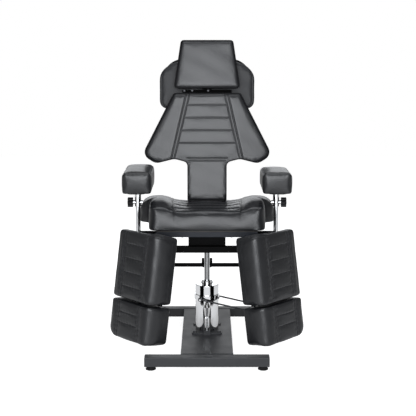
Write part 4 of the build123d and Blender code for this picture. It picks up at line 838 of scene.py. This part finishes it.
piping = {"radius": 0.004, "step": 0.008, "inShare": 0.18, "downShare": 0.36,
          "pads": ["backCushion", "headCushion"]}
for name in piping["pads"]:
    pad = pads[name]
    edge = pad["edge"]
    ring = roundedRing(pad["corners"], pad["radii"], pad["swell"] + piping["inShare"] * edge, steps=8)
    line = []
    for p in evenLoop(ring, piping["step"]):
        out = pad["high"] - piping["downShare"] * edge - p.x ** 2 / (2 * pad["crown"])
        line.append(pad["plane"] @ Vector((p.x, p.y, out)))
    welt = tubeAlong(name.replace("Cushion", "Piping"), line, piping["radius"], finishes["piping"])
    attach(welt, pad["body"])
print("piping sewn on")


# Geometry Nodes: stitches, weld beads, screws and ribs, each grown on a bare mesh
def growTree(name, inputs):
    tree = bpy.data.node_groups.new(name, "GeometryNodeTree")
    tree.interface.new_socket(name="Base", in_out="INPUT", socket_type="NodeSocketGeometry")
    for label, value in inputs.items():
        kind = "NodeSocketInt" if isinstance(value, int) else "NodeSocketFloat"
        tree.interface.new_socket(name=label, in_out="INPUT", socket_type=kind).default_value = value
    tree.interface.new_socket(name="Material", in_out="INPUT", socket_type="NodeSocketMaterial")
    tree.interface.new_socket(name="Result", in_out="OUTPUT", socket_type="NodeSocketGeometry")
    return tree, tree.nodes.new("NodeGroupInput").outputs


def closeTree(tree, given, geometry):
    whole = node(tree, "GeometryNodeRealizeInstances", {"Geometry": geometry})
    painted = node(tree, "GeometryNodeSetMaterial", {"Geometry": whole.outputs["Geometry"],
                                                     "Material": given["Material"]})
    result = tree.nodes.new("NodeGroupOutput")
    tree.links.new(painted.outputs["Geometry"], result.inputs["Result"])
    return tree


def beadTree():
    # one bead after another along each line of the base
    tree, given = growTree("beads along lines", {"Pitch": 0.006, "Length": 0.0044, "Thickness": 0.001})
    line = node(tree, "GeometryNodeMeshToCurve", {"Mesh": given["Base"]})
    places = node(tree, "GeometryNodeCurveToPoints", {"Curve": line.outputs["Curve"], "Length": given["Pitch"]},
                  mode="LENGTH")
    bead = node(tree, "GeometryNodeMeshIcoSphere", {"Radius": 0.5, "Subdivisions": 1})
    size = node(tree, "ShaderNodeCombineXYZ", {"X": given["Thickness"], "Y": given["Thickness"],
                                               "Z": given["Length"]})
    beads = node(tree, "GeometryNodeInstanceOnPoints", {
        "Points": places.outputs["Points"], "Instance": bead.outputs["Mesh"],
        "Rotation": places.outputs["Rotation"], "Scale": size.outputs["Vector"]})
    return closeTree(tree, given, beads.outputs["Instances"])


def fastenerTree():
    # a chamfered head on its washer at each point, turned to the point's facing
    tree, given = growTree("fasteners", {"Radius": 0.006, "Height": 0.004, "Sides": 6})
    washer = node(tree, "GeometryNodeMeshCylinder", {
        "Vertices": 18, "Radius": calc(tree, "MULTIPLY", given["Radius"], 1.4),
        "Depth": calc(tree, "MULTIPLY", given["Height"], 0.5)})
    head = node(tree, "GeometryNodeMeshCone", {
        "Vertices": given["Sides"], "Radius Top": calc(tree, "MULTIPLY", given["Radius"], 0.84),
        "Radius Bottom": given["Radius"], "Depth": given["Height"]})
    whole = tree.nodes.new("GeometryNodeJoinGeometry")
    tree.links.new(washer.outputs["Mesh"], whole.inputs["Geometry"])
    tree.links.new(head.outputs["Mesh"], whole.inputs["Geometry"])
    facing = node(tree, "GeometryNodeInputNamedAttribute", {"Name": "facing"}, data_type="FLOAT_VECTOR")
    turned = node(tree, "FunctionNodeAlignRotationToVector", {"Vector": facing.outputs["Attribute"]}, axis="Z")
    heads = node(tree, "GeometryNodeInstanceOnPoints", {
        "Points": given["Base"], "Instance": whole.outputs["Geometry"], "Rotation": turned.outputs["Rotation"]})
    return closeTree(tree, given, heads.outputs["Instances"])


def ribTree():
    # a round rib along each line of the base
    tree, given = growTree("ribs along lines", {"Radius": 0.002})
    line = node(tree, "GeometryNodeMeshToCurve", {"Mesh": given["Base"]})
    section = node(tree, "GeometryNodeCurvePrimitiveCircle", {"Resolution": 8, "Radius": given["Radius"]})
    swept = node(tree, "GeometryNodeCurveToMesh", {
        "Curve": line.outputs["Curve"], "Profile Curve": section.outputs["Curve"], "Fill Caps": True})
    return closeTree(tree, given, swept.outputs["Mesh"])


trees = {"beads": beadTree(), "fasteners": fastenerTree(), "ribs": ribTree()}


def bareMesh(name, lines=(), points=(), facings=()):
    places = [tuple(p) for p in points]
    edges = []
    for line in lines:
        first = len(places)
        places += [tuple(p) for p in line]
        edges += [(first + i, first + i + 1) for i in range(len(line) - 1)]
    mesh = bpy.data.meshes.new(name)
    mesh.from_pydata(places, edges, [])
    if facings:
        turned = mesh.attributes.new("facing", "FLOAT_VECTOR", "POINT")
        turned.data.foreach_set("vector", [value for facing in facings for value in facing])
    return linked(name, mesh)


def grown(obj, kind, body, slot, finish, **settings):
    modifier = obj.modifiers.new("grow", "NODES")
    modifier.node_group = trees[kind]
    settings["Material"] = finishes[finish]
    for item in trees[kind].interface.items_tree:
        if item.item_type == "SOCKET" and item.in_out == "INPUT" and item.name in settings:
            modifier[item.identifier] = settings[item.name]
    bake(obj, modifier)
    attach(obj, body)
    return obj


def surfaceOf(obj):
    mesh = obj.data
    return BVHTree.FromPolygons([v.co.copy() for v in mesh.vertices],
                                [tuple(p.vertices) for p in mesh.polygons])


def beside(line, distance):
    points = [Vector(p) for p in line]
    moved = []
    for i, here in enumerate(points):
        run = (points[min(i + 1, len(points) - 1)] - points[max(i - 1, 0)]).normalized()
        moved.append(here + Vector((-run.y, run.x)) * distance)
    return moved


def laidOn(surface, pad, line, step=0.005):
    # a line of the pad's plane laid on its leather, broken where the face turns away
    out = pad["plane"].to_3x3() @ Vector((0, 0, 1))
    runs = [[]]
    for a, b in zip(line, line[1:]):
        count = max(1, round((b - a).length / step))
        for k in range(count + 1):
            at = a.lerp(b, k / count)
            start = pad["plane"] @ Vector((at.x, at.y, pad["high"] + 0.05))
            hit, normal, _, _ = surface.ray_cast(start, -out)
            if hit is None or normal.dot(out) < 0.4:
                runs.append([])
            elif not runs[-1] or (runs[-1][-1] - hit).length > step * 0.3:
                runs[-1].append(hit + normal * 0.0001)
    return [run for run in runs if len(run) > 2]


stitch = {"Pitch": 0.0062, "Length": 0.0046, "Thickness": 0.0011}
stitches = 0
for name, obj in cushions.items():
    pad = pads[name]
    surface = surfaceOf(obj)
    lines = []
    for seam in pad["seams"]:
        for side in (-1, 1):
            lines += laidOn(surface, pad, beside(seam, side * sewing["beside"]))
    if "ringLine" in pad:
        sewnRound = []
        for p in ringLine(pad, sewing["besideRing"]):
            hit, normal, _, _ = surface.find_nearest(pad["plane"] @ Vector(p))
            sewnRound.append(hit + normal * 0.0001)
        lines.append(sewnRound)
    if lines:
        base = bareMesh(name.replace("Cushion", "Stitches"), lines)
        sewn = grown(base, "beads", pad["body"], "black_leather", "thread", **stitch)
        stitches += len(sewn.data.polygons) // 20
print("stitches sewn:", stitches)


def landed(names, seeds, towards):
    # where rays from the seeds first meet the named solids
    found = []
    surfaces = [surfaceOf(nodes[name]) for name in names]
    for seed in seeds:
        hits = [surface.ray_cast(Vector(seed), towards) for surface in surfaces]
        hits = [hit for hit in hits if hit[0] is not None]
        if hits:
            place, normal, _, _ = min(hits, key=lambda hit: hit[3])
            found.append((place, normal if normal.dot(towards) < 0 else -normal))
    return found


def grid(across, along, far):
    return [Vector((x, y, far)) for x in across for y in along]


def onPlane(plane, seeds):
    return [plane @ seed for seed in seeds]


def outOf(plane, sign):
    return plane.to_3x3() @ Vector((0, 0, sign))


backPoints = [(0.088, 0.140), (0.088, 0.270), (0.150, 0.345), (0.268, 0.350), (0.218, 0.480), (0.172, 0.560),
              (0.120, 0.625)]
plainScrew = {"slot": "steel", "finish": "steel", "Radius": 0.0042, "Height": 0.003, "Sides": 6}
boardScrew = {"towards": outOf(backPlane, 1), "Height": 0.0024, "Sides": 12}
screws = {
    "backScrews": {
        "body": "back", "nodes": ["back_board"], **boardScrew,
        "seeds": onPlane(backPlane, [Vector((side * x, up, -0.2)) for side in (-1, 1) for x, up in backPoints])},
    "headScrews": {
        "body": "head", "nodes": ["head_board"], **boardScrew,
        "seeds": onPlane(backPlane, grid((-0.115, 0.0, 0.115), (0.720, 0.885), -0.2))},
    "cradleScrews": {
        "body": "cradle", "nodes": ["cradle_board"], **boardScrew,
        "seeds": onPlane(backPlane, grid((-0.2, 0.2), (0.615, 0.745), -0.2)
                         + grid((-0.1, 0.0, 0.1), (0.815,), -0.2))},
    "seatScrews": {
        "body": "carriage", "nodes": ["front_rail", "rear_rail", "long_rails"], "towards": Vector((0, 0, 1)),
        "Radius": 0.0055, "Height": 0.0035, "seeds": grid((-0.215, -0.12, 0.12, 0.215), (-0.085, 0.237), 0.3)},
    "housingBolts": {
        "body": "carriage", "nodes": ["mount_housing"], "towards": Vector((0, 1, 0)), "slot": "black_paint",
        "finish": "black_paint", "Radius": 0.006, "Height": 0.004,
        "seeds": grid((-0.074, 0.074), (-0.3,), 0.541)},
    # these bolts take the darker steel copy, painted shade on their glints
    "headBracketBolts": {
        "body": "mast", "nodes": [], "towards": outOf(backPlane, -1), "finish": "dark_steel",
        "Radius": 0.0034, "Height": 0.0014,
        "seeds": onPlane(backPlane, grid((-0.118, -0.077, 0.006), (0.669,), 0.0381))},
}
for word, side in sides:
    behind = legPlane(side)
    screws[f"{word}ArmScrews"] = {
        "body": f"{word}_armrest", "nodes": [f"{word}_armrest_plate"], "towards": Vector((0, 0, 1)),
        "Radius": 0.0045, "seeds": grid((side * 0.322, side * 0.366), (-0.062, 0.172), 0.6)}
    for kind, body, rows in (("Calf", "leg", (-0.025, -0.15, -0.27)), ("Foot", "foot", (-0.325, -0.455))):
        screws[f"{word}{kind}Screws"] = {
            "body": f"{word}_{body}", "nodes": [f"{word}_{body}_frame"], "towards": outOf(behind, 1),
            "seeds": onPlane(behind, grid((-0.108, 0.108), rows, -0.2))}
    screws[f"{word}KnobCap"] = {
        "body": f"{word}_knob", "nodes": [f"{word}_clamp_knob"], "towards": Vector((-side, 0, 0)),
        "Radius": 0.0055, "Height": 0.0016, "Sides": 18, "seeds": [Vector((side * 0.5, 0.045, 0.712))]}
for name, screw in screws.items():
    screw = {**plainScrew, **screw}
    if screw["nodes"]:
        places = landed(screw["nodes"], screw["seeds"], screw["towards"])
    else:
        places = [(seed, -screw["towards"]) for seed in screw["seeds"]]
    studs = bareMesh(name, points=[p for p, _ in places], facings=[n for _, n in places])
    grown(studs, "fasteners", screw["body"], screw["slot"], screw["finish"],
          **{key: screw[key] for key in ("Radius", "Height", "Sides")})
print("screws set:", len(screws))

weldBead = {"Pitch": 0.0034, "Length": 0.0052, "Thickness": 0.0042}
welds = {
    "baseWelds": {"body": "base", "slot": "base_paint", "x": 0.121,
                  "at": [(-0.3702, 0.0643), (0.3702, 0.0643)]},
    "carriageWelds": {"body": "carriage", "slot": "black_paint", "x": 0.089, "at": [(-0.0705, 0.5175)]},
}
for name, weld in welds.items():
    lines = [[Vector((-weld["x"], y, z)), Vector((weld["x"], y, z))] for y, z in weld["at"]]
    grown(bareMesh(name, lines), "beads", weld["body"], weld["slot"], weld["slot"], **weldBead)

tread = {"from": 0.231, "to": 0.283, "ribs": 7, "left": -0.072, "right": 0.068, "points": 5, "radius": 0.0018}
lines = []
for x in np.linspace(tread["from"], tread["to"], tread["ribs"]):
    seeds = [Vector((x, y, 0.4)) for y in np.linspace(tread["left"], tread["right"], tread["points"])]
    lines.append([place for place, _ in landed(["pedal_pad"], seeds, Vector((0, 0, -1)))])
grown(bareMesh("pedalRibs", [line for line in lines if len(line) > 1]), "ribs", "pedal", "rubber", "rubber",
      Radius=tread["radius"])
print("welds and ribs grown")


# Small plain parts
def bevelledBox(name, x, y, z, plane, body, finish, bevel):
    bm = bmesh.new()
    bmesh.ops.create_cube(bm, size=1.0)
    for v in bm.verts:
        v.co = Vector(max(ends) if a > 0 else min(ends) for a, ends in zip(v.co, (x, y, z)))
    bmesh.ops.bevel(bm, geom=list(bm.edges), offset=bevel, segments=2, affect="EDGES", profile=0.5)
    bmesh.ops.transform(bm, matrix=plane, verts=bm.verts)
    obj = meshObject(name, bm, finishes[finish])
    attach(obj, body)


# a matte black plate across the gap between the head and back pads, placed as painted shade for the dark gap
shadeBracket = {"x": (-0.128, 0.128), "y": (0.640, 0.673), "z": (0.0345, 0.038), "bevel": 0.001}
endCap = {"x": (0.2896, 0.2916), "front": (-0.4225, -0.3715), "rear": (0.3715, 0.4225), "z": (0.0195, 0.0625),
          "bevel": 0.0008}
releaseEar = {"x": (0.013, 0.027), "y": (0.0885, 0.0965), "z": (0.386, 0.415), "bevel": 0.003}
glandHook = {"x": 0.0205, "y": -0.0235, "z": 0.3185, "radius": 0.0065, "wire": 0.0018, "points": 14,
             "from": -0.6 * math.pi, "to": 0.75 * math.pi}
bevelledBox("headBracket", shadeBracket["x"], shadeBracket["y"], shadeBracket["z"], backPlane, "mast", "matte_black",
            shadeBracket["bevel"])
for word, side in sides:
    for place in ("front", "rear"):
        x = [side * x for x in endCap["x"]]
        bevelledBox(f"{place}{word.capitalize()}EndCap", x, endCap[place], endCap["z"], level, "base",
                    "black_plastic", endCap["bevel"])
for word, side in sides:
    x = [side * x for x in releaseEar["x"]]
    bevelledBox(f"{word}ReleaseEar", x, releaseEar["y"], releaseEar["z"], level, "release", "black_paint",
                releaseEar["bevel"])
    arc = [Vector((side * (glandHook["x"] + glandHook["radius"] * math.cos(a)), glandHook["y"],
                   glandHook["z"] + glandHook["radius"] * math.sin(a)))
           for a in np.linspace(glandHook["from"], glandHook["to"], glandHook["points"])]
    hook = tubeAlong(f"{word}GlandHook", arc, glandHook["wire"], finishes["black_paint"], closed=False)
    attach(hook, "base")
print("plates, caps and hooks made")

# Stage, light and camera
stage = {"floorSize": 14.0, "floorColour": (0.86, 0.86, 0.86), "lift": 0.87, "floorMirrored": 0.36,
         "ambient": 0.13, "mirrored": 0.31}
bm = bmesh.new()
bmesh.ops.create_grid(bm, x_segments=1, y_segments=1, size=stage["floorSize"] / 2)
floorMaterial, tree, shader, _ = startMaterial("pale floor")
shader.inputs["Base Color"].default_value = (*stage["floorColour"], 1.0)
shader.inputs["Roughness"].default_value = 0.9
shader.inputs["Specular IOR Level"].default_value = 0.1
seen = tree.nodes.new("ShaderNodeLightPath")
mirrored = calc(tree, "MULTIPLY", seen.outputs["Is Glossy Ray"], stage["floorMirrored"])
glow = calc(tree, "MULTIPLY_ADD", seen.outputs["Is Camera Ray"], stage["lift"], mirrored)
shader.inputs["Emission Color"].default_value = (1, 1, 1, 1)
tree.links.new(glow, shader.inputs["Emission Strength"])
floor = meshObject("floor", bm, floorMaterial)

world = bpy.data.worlds.new("studio")
bpy.context.scene.world = world
world.use_nodes = True
tree = world.node_tree
tree.nodes.clear()
output = tree.nodes.new("ShaderNodeOutputWorld")
seen = tree.nodes.new("ShaderNodeLightPath")
passed = calc(tree, "MAXIMUM", seen.outputs["Is Camera Ray"], seen.outputs["Is Transmission Ray"])
dimmed = ramp(tree, seen.outputs["Is Glossy Ray"], 0.0, 1.0, stage["ambient"], stage["mirrored"])
strength = calc(tree, "MAXIMUM", passed, dimmed)
backdrop = node(tree, "ShaderNodeBackground", {"Color": (1, 1, 1, 1), "Strength": strength})
tree.links.new(backdrop.outputs["Background"], output.inputs["Surface"])

lamps = {
    "frontSoftbox": {"at": (-0.1, -5.2, 1.75), "aim": (0.0, 0.1, 1.0), "size": (2.8, 2.4), "power": 205.0},
    "topSoftbox": {"at": (0.1, -0.3, 3.4), "aim": (0.0, 0.05, 0.8), "size": (2.2, 1.8), "power": 46.0},
    "rearSoftbox": {"at": (0.0, 3.7, 1.55), "aim": (0.0, 0.0, 0.75), "size": (3.2, 1.5), "power": 21.0},
}
for name, lamp in lamps.items():
    data = bpy.data.lights.new(name, "AREA")
    data.shape = "RECTANGLE"
    data.size, data.size_y = lamp["size"]
    data.energy = lamp["power"]
    data.color = (0.94, 0.965, 1.0)
    obj = linked(name, data)
    obj.location = lamp["at"]
    obj.visible_camera = False
    obj.rotation_mode = "QUATERNION"
    obj.rotation_quaternion = (Vector(lamp["aim"]) - Vector(lamp["at"])).to_track_quat("-Z", "Y")

shot = {"lens": 83.94, "at": (0.005, -4.7122, 1.5779), "tilt": 79.34}
cameraData = bpy.data.cameras.new("photoView")
cameraData.lens = shot["lens"]
cameraData.sensor_width = 36.0
camera = linked("photoView", cameraData)
camera.location = shot["at"]
camera.rotation_euler = (math.radians(shot["tilt"]), 0, 0)
bpy.context.scene.camera = camera
bpy.context.scene.view_settings.view_transform = "Standard"
print("stage, lamps and camera set")
